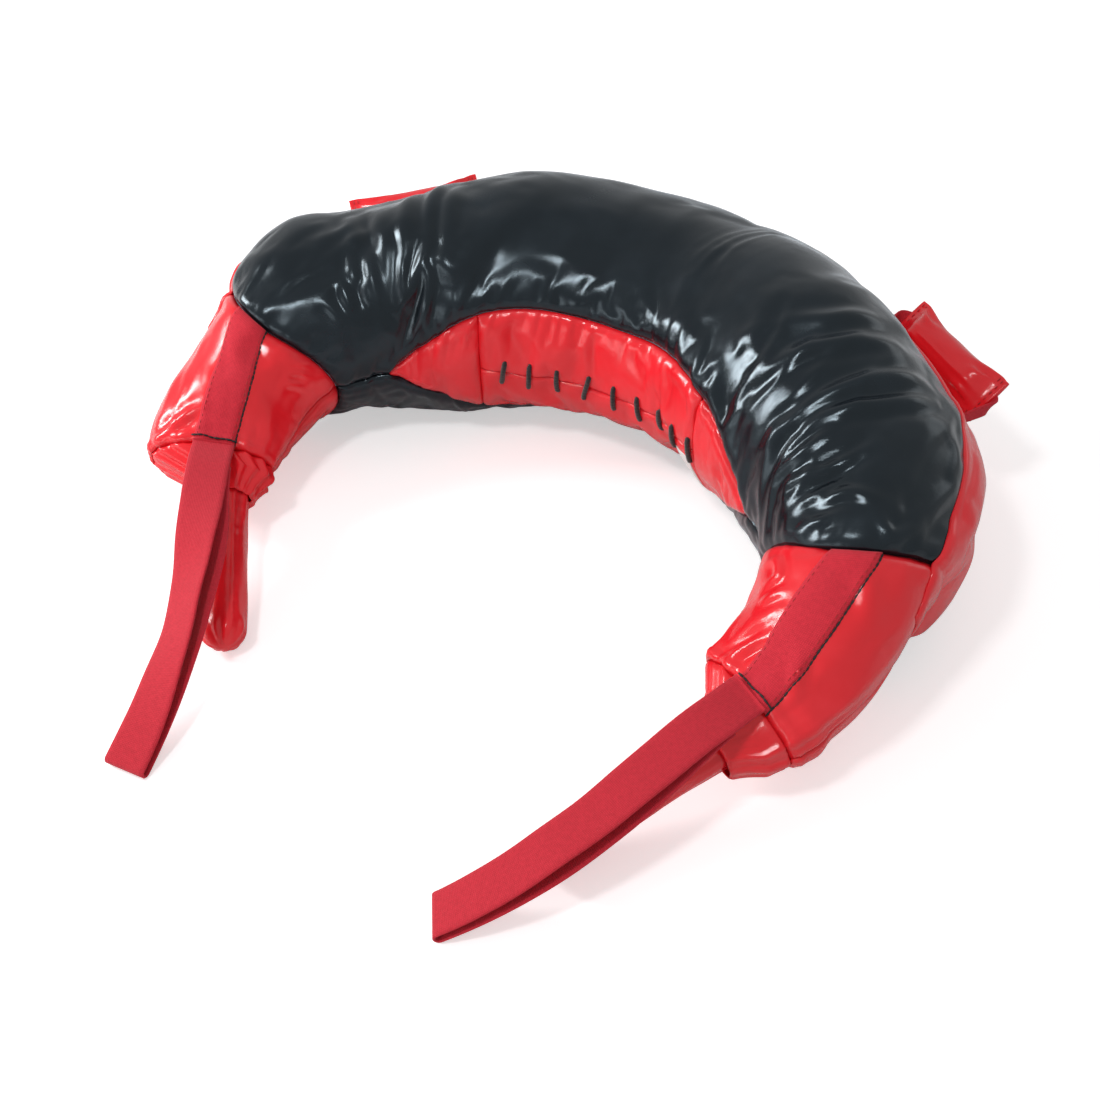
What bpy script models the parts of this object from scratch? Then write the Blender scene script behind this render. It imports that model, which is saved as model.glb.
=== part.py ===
# Crescent training sandbag lying flat: a filled vinyl tube bent into a crescent, its ends gathered
# round two padded grips, with a webbing hand loop at each end and a padded roll handle on each side.
# Metres, +Z up. The origin is on the floor under the middle of the crescent, whose ends point to -Y.
import math

import bmesh
import bpy
from mathutils import Matrix, Vector

# Middle line of the body: half its length, its even turn, and what the tighter ends add
HALF_LENGTH = 0.462
MIDDLE_TURN_DEG = 80.0
ENDS_TURN_DEG = 38.0

# Half widths and half heights of the body, from its middle to the opening that holds the grip
MIDDLE_RADIUS = 0.0967
BELLY_RADIUS = 0.1023
SEAM_RADIUS = 0.0600
NECK_HALF_WIDTH = 0.0460
NECK_HALF_HEIGHT = 0.0290
SEAM_HEIGHT = 0.0742
NECK_HEIGHT = 0.0470
FLAT_HALF_DEG = 16.0

# Where those sizes are met, as shares of the half length
STATION_SHARES = (0.0, 0.40, 0.79, 1.0, 1.03)
MOUTH_END_SHARE = 0.345
LENS_END_SHARE = 0.62
SEAM_SHARE = 0.765
BAND_END_SHARE = 0.82
NECK_SHARE = 1.0
OPENING_SHARE = 1.03

# Sheet materials and the gaps between layers
VINYL = 0.0015
LINING = 0.0015
WEBBING = 0.0020
LABEL = 0.0006
SEAM_GAP = 0.0006
LAYER_GAP = 0.0011
TOUCH_GAP = 0.0004
FILL_GAP = 0.0008
LINING_LIFT = 0.0024
LENS_TIP_CUT = 0.0048

# The bowed seam between the black middle and the red ends
BOW_LENGTH = 0.0125
BOW_PEAK_DEG = 20.0
BOW_POWER = 4

# The red lens on the inner wall, angles measured round the body from its top
INNER_LINE_DEG = 98.0
END_LINE_DEG = 109.0
LENS_RISE_DEG = 34.0
LENS_DROP_DEG = 40.0
LENS_POWER = 2.7
OUTER_LINE_DEG = -90.0
BAND_HALF_DEG = 42.0
BAND_TAPER_SHARE = 0.333

# Laced filling mouth in the middle of the lens
LACE_COUNT = 9
LACE_RADIUS = 0.0015
LACE_FIRST_SHARE = -0.285
LACE_LAST_SHARE = 0.311
LACE_HALF_SPAN = 0.0155
LACE_HOLE_RADIUS = 0.0027
LACE_STANDOFF = 0.0026
LACE_TAIL = 0.012
LACE_BEND_SHARE = 0.3
LACE_SLANT_SHARES = (0.25, 0.5, 0.75)
MOUTH_SLIT = 0.0024
TONGUE_HALF_DEG = 22.0
TUCK_DEG = 30.0
TUCK_FADE_DEG = 26.0
TUCK_FADE_SHARE = 0.12

# Blank care label under the last lace bars
LABEL_LENGTH = 0.045
LABEL_START_SHARE = 0.235
LABEL_LOW_DEG = 111.0
LABEL_HIGH_DEG = 131.0

# Filling: three sand pouches and a stuffing pad in each end
POUCH_SPLIT_SHARE = 0.257
POUCH_END_SHARE = 0.70
STUFFING_END_SHARE = 0.93
POUCH_SPACE = 0.006
POUCH_ROUND = 0.014
POUCH_TIP_SHARE = 0.25
POUCH_RING_SHARES = (0.60, 0.97)

# Hand loops: webbing sewn on top of the end panels, folded over the neck and back under itself
WEB_WIDTH = 0.0320
LOOP_LENGTH = {"left": 0.273, "right": 0.242}
LOOP_HEADING_DEG = {"left": (33.3, 16.0, -42.4), "right": (-21.6, 29.1, -61.3)}
LOOP_FOLD_RADIUS = 0.0042
LOOP_SPREAD = 0.0125
LOOP_TAIL = 0.024
LOOP_DROOP_POWER = 1.9
LOOP_TWIST_SHARE = 0.333
LOOP_OPEN_SHARE = 0.25
LOOP_STEPS = 22
LOOP_FINE_STEPS = 8
LOOP_FOLD_STEPS = 4
ANCHOR_DEG = {"left": (4.0, 12.0), "right": (-3.0, -10.0)}

# Padded grips in the necks
GRIP_LENGTH = 0.157
GRIP_ROOT_RADIUS = 0.0180
GRIP_WAIST_RADIUS = 0.0148
GRIP_RADIUS = 0.0160
GRIP_ROOT_HOLE = 0.0060
GRIP_TIP_HEIGHT = 0.0170
GRIP_HEADING_DEG = {"left": 39.5, "right": -26.0}
GRIP_SHIFT = {-1: 0.019, 1: -0.009}
GRIP_FIT = 0.0009
GRIP_BALL_DEG = 62.0
GRIP_WAIST_SHARE = 0.30
GRIP_SWELL_SHARE = 0.62

# Padded roll handles on the outer wall
HANDLE_LENGTH = 0.118
HANDLE_RADIUS = 0.0160
HANDLE_END_HALF_WIDTH = 0.0180
HANDLE_END_HALF_HEIGHT = 0.0075
HANDLE_STANDOFF = 0.0291
HANDLE_LEG_REACH = 0.0100
HANDLE_DEG = -86.0
HANDLE_START_SHARE = {"left": 0.335, "right": 0.260}
HANDLE_RING_SHARES = ((-1.0, 1.0), (-0.86, 0.35), (-0.6, 0.0), (0.6, 0.0), (0.86, 0.35), (1.0, 1.0))
HANDLE_WEB_WIDTH = 0.0180
HANDLE_ROOT_WIDTH = 0.0020
HANDLE_ROOT_GAP = 0.0009
HANDLE_BORE_SIDE = 0.0040
HANDLE_BEND_SHARE = 0.75
HANDLE_TURN_SHARE = 0.3
HANDLE_TAPER_SHARE = 0.7
PATCH_SIZE = 0.030

# Faces round and along the pieces
TOP_COLUMNS = 12
BOTTOM_COLUMNS = 11
BAND_COLUMNS = 6
UPPER_FLAP_COLUMNS = 3
LOWER_FLAP_COLUMNS = 4
LINING_COLUMNS = 20
WEB_COLUMNS = 4
PATCH_COLUMNS = 3
ROUND_SIDES = 16
HANDLE_SIDES = 12
HOLE_SIDES = 8
BALL_STEPS = 4
TIP_STEPS = 3
MOUTH_ROWS = 5
LENS_ROWS = 4
SEAM_ROWS = 2
NECK_ROWS = 3
OPENING_ROWS = 2
LABEL_ROWS = 3
LINE_STEPS = 240
SEARCH_STEPS = 40
SMOOTH_DEG = 40.0

SIDES = {"left": -1, "right": 1}


def clear_scene():
    for item in list(bpy.data.objects):
        bpy.data.objects.remove(item, do_unlink=True)


def make_material(name, colour, roughness, metallic=0.0):
    material = bpy.data.materials.new(name)
    material.use_nodes = True
    shader = material.node_tree.nodes["Principled BSDF"]
    shader.inputs["Base Color"].default_value = (*colour, 1.0)
    shader.inputs["Roughness"].default_value = roughness
    shader.inputs["Metallic"].default_value = metallic
    return material


def ease(share):
    share = min(max(share, 0.0), 1.0)
    return share * share * (3 - 2 * share)


def through(stations, values, place, last_slope):
    # Smooth curve through the values, level at the first station
    steps = [b - a for a, b in zip(stations, stations[1:])]
    rates = [(b - a) / step for a, b, step in zip(values, values[1:], steps)]
    slopes = [0.0] + [(a + b) / 2 for a, b in zip(rates, rates[1:])] + [last_slope]
    index = max(i for i in range(len(steps)) if i == 0 or place >= stations[i])
    step = steps[index]
    t = (place - stations[index]) / step
    start = (2 * t**3 - 3 * t**2 + 1) * values[index] + (t**3 - 2 * t**2 + t) * step * slopes[index]
    end = (3 * t**2 - 2 * t**3) * values[index + 1] + (t**3 - t**2) * step * slopes[index + 1]
    return start + end


def trace_middle_line():
    # Plan of the middle line from the middle of the bag to the neck: x, y and heading at each step
    line = [(0.0, 0.0, 0.0)]
    for k in range(1, LINE_STEPS + 1):
        share = k / LINE_STEPS
        heading = math.radians(MIDDLE_TURN_DEG * share + ENDS_TURN_DEG * share**2)
        x, y, before = line[-1]
        mean = (heading + before) / 2
        step = HALF_LENGTH / LINE_STEPS
        line.append((x + step * math.cos(mean), y - step * math.sin(mean), heading))
    return line


MIDDLE_LINE = trace_middle_line()
FLAT_SHARE = math.cos(math.radians(FLAT_HALF_DEG))
GRIP_SEAT = GRIP_ROOT_RADIUS + GRIP_FIT + VINYL
HALF_WIDTHS = (MIDDLE_RADIUS, BELLY_RADIUS, SEAM_RADIUS, NECK_HALF_WIDTH, GRIP_SEAT)
HALF_HEIGHTS = (MIDDLE_RADIUS, BELLY_RADIUS, SEAM_RADIUS, NECK_HALF_HEIGHT, GRIP_SEAT)
HEIGHTS = (MIDDLE_RADIUS * FLAT_SHARE, BELLY_RADIUS * FLAT_SHARE, SEAM_HEIGHT, NECK_HEIGHT)


def centre_height(share):
    last = (NECK_HEIGHT - SEAM_HEIGHT) / (STATION_SHARES[3] - STATION_SHARES[2])
    if share > NECK_SHARE:
        return NECK_HEIGHT + last * (share - NECK_SHARE)
    return through(STATION_SHARES[:4], HEIGHTS, share, last)


def half_size(sizes, share):
    if share <= NECK_SHARE:
        last = (sizes[3] - sizes[2]) / (STATION_SHARES[3] - STATION_SHARES[2])
        return through(STATION_SHARES[:4], sizes[:4], share, last)
    part = (share - NECK_SHARE) / (OPENING_SHARE - NECK_SHARE)
    return sizes[3] + (sizes[4] - sizes[3]) * part


def body_frame(u):
    # Centre, forward, inward and upward directions of the body's section at u, the share of the half
    # length, negative on the left arm
    side = -1 if u < 0 else 1
    share = abs(u)
    place = min(share, 1.0) * LINE_STEPS
    low = min(int(place), LINE_STEPS - 1)
    x0, y0, h0 = MIDDLE_LINE[low]
    x1, y1, h1 = MIDDLE_LINE[low + 1]
    part = place - low
    heading = h0 + (h1 - h0) * part
    past = max(share - 1.0, 0.0) * HALF_LENGTH
    x = x0 + (x1 - x0) * part + past * math.cos(heading)
    y = y0 + (y1 - y0) * part - past * math.sin(heading)
    reach = 1 / LINE_STEPS
    back = max(share - reach, 0.0)
    slope = (centre_height(share + reach) - centre_height(back)) / ((share + reach - back) * HALF_LENGTH)
    centre = Vector((side * x, y, centre_height(share)))
    forward = Vector((side * math.cos(heading), -math.sin(heading), slope)).normalized()
    inward = Vector((-side * math.sin(heading), -math.cos(heading), 0.0))
    shift = max(share - NECK_SHARE, 0.0) / (OPENING_SHARE - NECK_SHARE)
    centre += inward * (GRIP_SHIFT[side] * shift)
    upward = inward.cross(forward) * side
    return centre, forward, inward, upward


def bowed(u, deg):
    # The rows bow along the body near the end seams
    share = abs(u)
    if share < SEAM_SHARE:
        weight = (share / SEAM_SHARE) ** BOW_POWER
    else:
        weight = max((NECK_SHARE - share) / (NECK_SHARE - SEAM_SHARE), 0.0)
    shift = BOW_LENGTH / HALF_LENGTH * weight * math.cos(2 * math.radians(deg - BOW_PEAK_DEG))
    return math.copysign(share + shift, u)


def skin_point(u, deg, depth=0.0, floor=None):
    # A point of the layer that lies depth under the outer surface, flattened where the bag rests
    place = bowed(u, deg)
    centre, forward, inward, upward = body_frame(place)
    wide = half_size(HALF_WIDTHS, abs(place)) - depth
    tall = half_size(HALF_HEIGHTS, abs(place)) - depth
    angle = math.radians(deg)
    point = centre + upward * (tall * math.cos(angle)) + inward * (wide * math.sin(angle))
    point.z = max(point.z, max(depth, 0.0) if floor is None else floor)
    return point


def gap_degrees(u, gap):
    return math.degrees(gap / half_size(HALF_WIDTHS, min(abs(u), NECK_SHARE)))


def lens(u):
    return max(1 - (abs(u) / LENS_END_SHARE) ** LENS_POWER, 0.0)


def lens_top(u):
    return INNER_LINE_DEG - LENS_RISE_DEG * lens(u)


def lens_bottom(u):
    return INNER_LINE_DEG + LENS_DROP_DEG * lens(u)


def end_line(u):
    part = (abs(u) - SEAM_SHARE) / (NECK_SHARE - SEAM_SHARE)
    return INNER_LINE_DEG + (END_LINE_DEG - INNER_LINE_DEG) * ease(part)


def between(low, high):
    # Angles from one seam to the next, less half a seam gap at each
    def span(u):
        gap = gap_degrees(u, SEAM_GAP / 2)
        first = low(u) if callable(low) else low
        last = high(u) if callable(high) else high
        return first + gap, last - gap

    return span


def spread(first, last, count):
    return [first + (last - first) * k / count for k in range(count + 1)]


def trimmed(rows):
    gap = SEAM_GAP / 2 / HALF_LENGTH
    turn = 1 if rows[-1] > rows[0] else -1
    return [rows[0] + turn * gap] + rows[1:-1] + [rows[-1] - turn * gap]


MOUTH_STATIONS = spread(0.0, MOUTH_END_SHARE, MOUTH_ROWS)
LENS_STATIONS = spread(MOUTH_END_SHARE, LENS_END_SHARE, LENS_ROWS)
SEAM_STATIONS = spread(LENS_END_SHARE, SEAM_SHARE, SEAM_ROWS)
NECK_STATIONS = [SEAM_SHARE] + spread(BAND_END_SHARE, NECK_SHARE, NECK_ROWS)
OPENING_STATIONS = spread(NECK_SHARE, OPENING_SHARE, OPENING_ROWS)
MIDDLE_STATIONS = MOUTH_STATIONS + LENS_STATIONS[1:] + SEAM_STATIONS[1:]


def both_ways(stations):
    return [-share for share in reversed(stations[1:])] + list(stations)


def close_mesh(name, build, material, pivot=None):
    # Turns a filled bmesh into an object; a moving piece keeps its mesh round its pivot
    bmesh.ops.triangulate(build, faces=build.faces)
    bmesh.ops.recalc_face_normals(build, faces=build.faces)
    if pivot is not None:
        bmesh.ops.translate(build, verts=build.verts, vec=-pivot.location)
    mesh = bpy.data.meshes.new(name)
    build.to_mesh(mesh)
    build.free()
    mesh.materials.append(material)
    mesh.shade_smooth()
    mesh.set_sharp_from_angle(angle=math.radians(SMOOTH_DEG))
    item = bpy.data.objects.new(name, mesh)
    item.parent = pivot
    bpy.context.scene.collection.objects.link(item)
    return item


def add_pivot(name, point):
    pivot = bpy.data.objects.new(name, None)
    pivot.location = point
    pivot.empty_display_size = WEB_WIDTH
    bpy.context.scene.collection.objects.link(pivot)
    return pivot


def bridge(build, first, second, ring=False):
    # Quads between two rows of vertices
    pairs = len(first) if ring else len(first) - 1
    for k in range(pairs):
        n = (k + 1) % len(first)
        build.faces.new((first[k], first[n], second[n], second[k]))


def thick_sheet(name, rows, span, columns, outer, inner, material, pivot=None):
    # A sewn panel: a patch of the body between two seams with its real thickness
    build = bmesh.new()
    sheets = []
    for depth in (outer, inner):
        sheet = []
        for u in rows:
            low, high = span(u)
            angles = spread(low, high, columns)
            sheet.append([build.verts.new(skin_point(u, deg, depth(u, deg))) for deg in angles])
        sheets.append(sheet)
    for sheet in sheets:
        for first, second in zip(sheet, sheet[1:]):
            bridge(build, first, second)
    top, under = sheets
    bridge(build, top[0], under[0])
    bridge(build, top[-1], under[-1])
    bridge(build, [row[0] for row in top], [row[0] for row in under])
    bridge(build, [row[-1] for row in top], [row[-1] for row in under])
    return close_mesh(name, build, material, pivot)


def steady(depth):
    return lambda u, deg: depth


def tuck(u, deg):
    # How far the layers behind the laced mouth are pushed in, from 0 to 1
    round_it = ease((TUCK_DEG + TUCK_FADE_DEG - abs(deg - INNER_LINE_DEG)) / TUCK_FADE_DEG)
    along = ease((MOUTH_END_SHARE + TUCK_FADE_SHARE - abs(u)) / TUCK_FADE_SHARE)
    return round_it * along


LACE_DEPTH = VINYL + LAYER_GAP / 2 + TOUCH_GAP + LACE_RADIUS
TONGUE_DEPTH = LACE_DEPTH + LACE_RADIUS + LAYER_GAP / 2 + TOUCH_GAP
LINING_DEPTH = VINYL + LAYER_GAP
TUCK_DEPTH = TONGUE_DEPTH + VINYL + LAYER_GAP - LINING_DEPTH
FILL_DEPTH = LINING_DEPTH + LINING + FILL_GAP
LINING_FLOOR = LINING_DEPTH + LINING_LIFT
FILL_FLOOR = LINING_FLOOR + LINING + FILL_GAP
PATCH_TOP = LAYER_GAP + VINYL + TOUCH_GAP + VINYL


def lining_depth(u, deg):
    return LINING_DEPTH + TUCK_DEPTH * tuck(u, deg)


def make_lining(material):
    # The textile tube that holds the fill, open at both necks
    rows = both_ways(MIDDLE_STATIONS + NECK_STATIONS[1:-1])
    build = bmesh.new()
    skins = []
    for wall in (0.0, LINING):
        skin = []
        for u in rows:
            ring = []
            for k in range(LINING_COLUMNS):
                deg = 360 * k / LINING_COLUMNS
                depth = lining_depth(u, deg) + wall
                ring.append(build.verts.new(skin_point(u, deg, depth, LINING_FLOOR + wall)))
            skin.append(ring)
        skins.append(skin)
    for skin in skins:
        for first, second in zip(skin, skin[1:]):
            bridge(build, first, second, ring=True)
    for end in (0, -1):
        bridge(build, skins[0][end], skins[1][end], ring=True)
    return close_mesh("padding_sleeve", build, material)


def make_filling(name, first, last, material):
    # A filled pouch or pad inside the lining, rounded at both ends
    cap = POUCH_ROUND / HALF_LENGTH
    stations = both_ways(MIDDLE_STATIONS + NECK_STATIONS[1:-1])
    ends = list(zip((cap * POUCH_TIP_SHARE, cap), POUCH_RING_SHARES))
    rows = [(first + step, fullness) for step, fullness in ends]
    rows += [(u, 1.0) for u in stations if first + cap < u < last - cap]
    rows += [(last - step, fullness) for step, fullness in reversed(ends)]
    build = bmesh.new()
    rings = []
    for u, fullness in rows:
        points = []
        for k in range(LINING_COLUMNS):
            deg = 360 * k / LINING_COLUMNS
            points.append(skin_point(u, deg, FILL_DEPTH + TUCK_DEPTH * tuck(u, deg), FILL_FLOOR))
        middle = sum(points, Vector()) / len(points)
        rings.append([build.verts.new(middle + (point - middle) * fullness) for point in points])
    for a, b in zip(rings, rings[1:]):
        bridge(build, a, b, ring=True)
    build.faces.new(rings[0])
    build.faces.new(rings[-1])
    return close_mesh(name, build, material)


def lace_shares():
    return spread(LACE_FIRST_SHARE, LACE_LAST_SHARE, LACE_COUNT - 1)


def lace_angles(u):
    half = gap_degrees(u, LACE_HALF_SPAN)
    return INNER_LINE_DEG - half, INNER_LINE_DEG + half


def make_lace(material):
    # One cord: a bar outside over the slit at each pair of holes, slanting to the next pair inside
    bend = (LACE_STANDOFF + LACE_DEPTH) / 2
    part = bend * LACE_BEND_SHARE
    shares = lace_shares()
    tail = LACE_TAIL / HALF_LENGTH
    first = lace_angles(shares[0])[0]
    last = lace_angles(shares[-1])[1]
    path = [(shares[0] - tail, first, LACE_DEPTH), (shares[0] - tail / 2, first, LACE_DEPTH)]
    for number, u in enumerate(shares):
        high, low = lace_angles(u)
        turn = gap_degrees(u, bend)
        nudge = gap_degrees(u, part)
        path += [
            (u, high - nudge, LACE_DEPTH - part), (u, high, LACE_DEPTH - bend),
            (u, high + nudge, part - LACE_STANDOFF), (u, high + turn, -LACE_STANDOFF),
            (u, INNER_LINE_DEG, -LACE_STANDOFF), (u, low - turn, -LACE_STANDOFF),
            (u, low - nudge, part - LACE_STANDOFF), (u, low, LACE_DEPTH - bend),
            (u, low + nudge, LACE_DEPTH - part)]
        if number + 1 < len(shares):
            step = shares[number + 1] - u
            path += [(u + step * t, low + (high - low) * t, LACE_DEPTH) for t in LACE_SLANT_SHARES]
    path += [(shares[-1] + tail / 2, last, LACE_DEPTH), (shares[-1] + tail, last, LACE_DEPTH)]
    curve = bpy.data.curves.new("mouth_lace", "CURVE")
    curve.dimensions = "3D"
    curve.bevel_depth = LACE_RADIUS
    curve.bevel_resolution = 1
    curve.use_fill_caps = True
    spline = curve.splines.new("POLY")
    spline.points.add(len(path) - 1)
    for point, place in zip(spline.points, path):
        point.co = (*skin_point(*place), 1.0)
    spline.use_smooth = True
    curve.materials.append(material)
    item = bpy.data.objects.new("mouth_lace", curve)
    bpy.context.scene.collection.objects.link(item)


def make_hole_cutters():
    # One short pin for each lace hole, square to the skin
    build = bmesh.new()
    for u in lace_shares():
        for deg in lace_angles(u):
            outside = skin_point(u, deg, -LACE_STANDOFF)
            inside = skin_point(u, deg, VINYL + LACE_STANDOFF)
            turn = (inside - outside).to_track_quat("Z", "Y").to_matrix().to_4x4()
            place = Matrix.Translation((inside + outside) / 2) @ turn
            bmesh.ops.create_cone(
                build, cap_ends=True, segments=HOLE_SIDES, radius1=LACE_HOLE_RADIUS, radius2=LACE_HOLE_RADIUS,
                depth=(inside - outside).length, matrix=place)
    mesh = bpy.data.meshes.new("lace_hole_cutters")
    build.to_mesh(mesh)
    build.free()
    cutter = bpy.data.objects.new("lace_hole_cutters", mesh)
    cutter.hide_render = True
    cutter.display_type = "WIRE"
    bpy.context.scene.collection.objects.link(cutter)
    return cutter


def punch_holes(item, cutter):
    cut = item.modifiers.new("lace holes", "BOOLEAN")
    cut.operation = "DIFFERENCE"
    cut.solver = "EXACT"
    cut.object = cutter


def make_body(red, black, lining, sand, stuffing, cord, paper):
    whole = trimmed(both_ways(MIDDLE_STATIONS))
    thick_sheet("top_panel", whole, between(OUTER_LINE_DEG, lens_top), TOP_COLUMNS,
                steady(0.0), steady(VINYL), black)
    thick_sheet("bottom_panel", whole, between(lens_bottom, OUTER_LINE_DEG + 360), BOTTOM_COLUMNS,
                steady(0.0), steady(VINYL), black)
    band_rows = both_ways(MIDDLE_STATIONS + NECK_STATIONS[1:2])
    thick_sheet("outer_band", band_rows, band_span, BAND_COLUMNS,
                steady(-LAYER_GAP - VINYL), steady(-LAYER_GAP), red)
    cutter = make_hole_cutters()
    mouth = trimmed(both_ways(MOUTH_STATIONS))
    half_slit = math.degrees(MOUTH_SLIT / 2 / MIDDLE_RADIUS)
    upper = thick_sheet("mouth_flap_upper", mouth, between(lens_top, INNER_LINE_DEG - half_slit),
                        UPPER_FLAP_COLUMNS, steady(0.0), steady(VINYL), red)
    lower = thick_sheet("mouth_flap_lower", mouth, between(INNER_LINE_DEG + half_slit, lens_bottom),
                        LOWER_FLAP_COLUMNS, steady(0.0), steady(VINYL), red)
    punch_holes(upper, cutter)
    punch_holes(lower, cutter)
    make_lace(cord)
    tongue = both_ways(MOUTH_STATIONS[:-1])
    thick_sheet("mouth_tongue", tongue,
                between(INNER_LINE_DEG - TONGUE_HALF_DEG, INNER_LINE_DEG + TONGUE_HALF_DEG),
                UPPER_FLAP_COLUMNS, steady(TONGUE_DEPTH), steady(TONGUE_DEPTH + VINYL), black)
    label_rows = spread(LABEL_START_SHARE, LABEL_START_SHARE + LABEL_LENGTH / HALF_LENGTH, LABEL_ROWS)
    thick_sheet("care_label", label_rows, between(LABEL_LOW_DEG, LABEL_HIGH_DEG), PATCH_COLUMNS,
                steady(-LAYER_GAP / 2 - LABEL), steady(-LAYER_GAP / 2), paper)
    make_lining(lining)
    gap = POUCH_SPACE / 2 / HALF_LENGTH
    make_filling("sand_pouch_middle", -POUCH_SPLIT_SHARE + gap, POUCH_SPLIT_SHARE - gap, sand)
    for side, turn in SIDES.items():
        edge = [turn * share for share in LENS_STATIONS]
        tip = edge[-1] - turn * LENS_TIP_CUT / HALF_LENGTH
        thick_sheet(f"inner_gusset_{side}", trimmed(edge[:-1] + [tip]), between(lens_top, lens_bottom),
                    UPPER_FLAP_COLUMNS + LOWER_FLAP_COLUMNS, steady(0.0), steady(VINYL), red)
        ends = trimmed([turn * share for share in NECK_STATIONS + OPENING_STATIONS[1:]])
        thick_sheet(f"end_panel_upper_{side}", ends, between(OUTER_LINE_DEG, end_line), TOP_COLUMNS,
                    steady(0.0), steady(VINYL), red)
        thick_sheet(f"end_panel_lower_{side}", ends, between(end_line, OUTER_LINE_DEG + 360),
                    BOTTOM_COLUMNS, steady(0.0), steady(VINYL), red)
        places = sorted((turn * (POUCH_SPLIT_SHARE + gap), turn * (POUCH_END_SHARE - gap)))
        make_filling(f"sand_pouch_{side}", *places, sand)
        places = sorted((turn * (POUCH_END_SHARE + gap), turn * STUFFING_END_SHARE))
        make_filling(f"end_stuffing_{side}", *places, stuffing)


def band_span(u):
    # The band narrows to rounded ends past the end seams
    part = ease((abs(u) - SEAM_SHARE) / (BAND_END_SHARE - SEAM_SHARE))
    half = BAND_HALF_DEG * (1 - part * BAND_TAPER_SHARE)
    return OUTER_LINE_DEG - half, OUTER_LINE_DEG + half


def make_strap(side, turn, webbing):
    # Webbing sewn along the end panel, then the free loop that folds back under itself
    start_deg, end_deg = ANCHOR_DEG[side]

    def middle(u):
        part = (abs(u) - SEAM_SHARE) / (NECK_SHARE - SEAM_SHARE)
        return start_deg + (end_deg - start_deg) * part

    def span(u):
        half = math.degrees(WEB_WIDTH / 2 / half_size(HALF_WIDTHS, abs(u)))
        return middle(u) - half, middle(u) + half

    rows = trimmed([turn * share for share in NECK_STATIONS])
    low = LAYER_GAP + WEBBING
    thick_sheet(f"strap_anchor_{side}", rows, span, WEB_COLUMNS, steady(-low), steady(-LAYER_GAP), webbing)

    root = skin_point(turn * NECK_SHARE, end_deg, -low)
    edges = [skin_point(turn * NECK_SHARE, deg, -low) for deg in span(NECK_SHARE)]
    across = (edges[1] - edges[0]).normalized() * -turn
    pivot = add_pivot(f"hand_loop_{side}_pivot", root)
    route = strap_route(side, root)
    build = bmesh.new()
    rows = []
    count = len(route)
    for k, (point, ahead, sideways, returning) in enumerate(route):
        steps = count - 1 - k if returning else k
        blend = ease(steps / count / LOOP_TWIST_SHARE)
        wide = (across * (1 - blend) + sideways * blend).normalized()
        half = wide * (WEB_WIDTH / 2)
        thin = wide.cross(ahead).normalized() * WEBBING
        corners = (point - half, point + half, point + half + thin, point - half + thin)
        rows.append([build.verts.new(corner) for corner in corners])
    for first, second in zip(rows, rows[1:]):
        bridge(build, first, second, ring=True)
    build.faces.new(rows[0])
    build.faces.new(rows[-1])
    close_mesh(f"hand_loop_{side}", build, webbing, pivot)


def strap_route(side, root):
    # Outer face of the loop: out along the top layer, round the fold and back underneath
    first, second, third = LOOP_HEADING_DEG[side]
    length = LOOP_LENGTH[side]
    rest = LOOP_FOLD_RADIUS * 2 + SEAM_GAP
    places = []
    x, y = root.x, root.y
    total = LOOP_STEPS * LOOP_FINE_STEPS
    for k in range(total + 1):
        t = k / total
        height = rest + (root.z - rest) * (1 - t**LOOP_DROOP_POWER)
        if k % LOOP_FINE_STEPS == 0:
            places.append(Vector((x, y, height)))
        after = (k + 1) / total
        drop = (root.z - rest) * (after**LOOP_DROOP_POWER - t**LOOP_DROOP_POWER)
        plan = math.sqrt(max((length / total) ** 2 - drop**2, 0.0))
        heading = math.radians(first + second * t + third * t * t)
        x += plan * math.sin(heading)
        y -= plan * math.cos(heading)
    route = []
    frames = []
    for k, point in enumerate(places):
        ahead = (places[min(k + 1, len(places) - 1)] - places[max(k - 1, 0)]).normalized()
        sideways = Vector((-ahead.y, ahead.x, 0.0)).normalized()
        down = sideways.cross(ahead).normalized()
        if down.z > 0:
            down = -down
        frames.append((point, ahead, sideways, down))
        route.append((point + ahead * (TOUCH_GAP if k == 0 else 0.0), ahead, sideways, False))
    point, ahead, sideways, down = frames[-1]
    for k in range(1, LOOP_FOLD_STEPS):
        angle = math.pi * k / LOOP_FOLD_STEPS
        place = point + ahead * (LOOP_FOLD_RADIUS * math.sin(angle))
        place += down * (LOOP_FOLD_RADIUS * (1 - math.cos(angle)))
        way = ahead * math.cos(angle) + down * math.sin(angle)
        route.append((place, way, sideways, False))
    tail = math.ceil(LOOP_TAIL / length * LOOP_STEPS)
    pressed = 2 * WEBBING + TOUCH_GAP
    for k, (point, ahead, sideways, down) in reversed(list(enumerate(frames))[tail:]):
        t = (k - tail) / (len(frames) - 1 - tail)
        spacing = pressed + (2 * LOOP_FOLD_RADIUS - pressed) * ease(t / LOOP_OPEN_SHARE)
        spacing += (LOOP_SPREAD - 2 * LOOP_FOLD_RADIUS) * math.sin(math.pi * t) ** 2
        route.append((point + down * spacing, -ahead, sideways, True))
    return route


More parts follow.
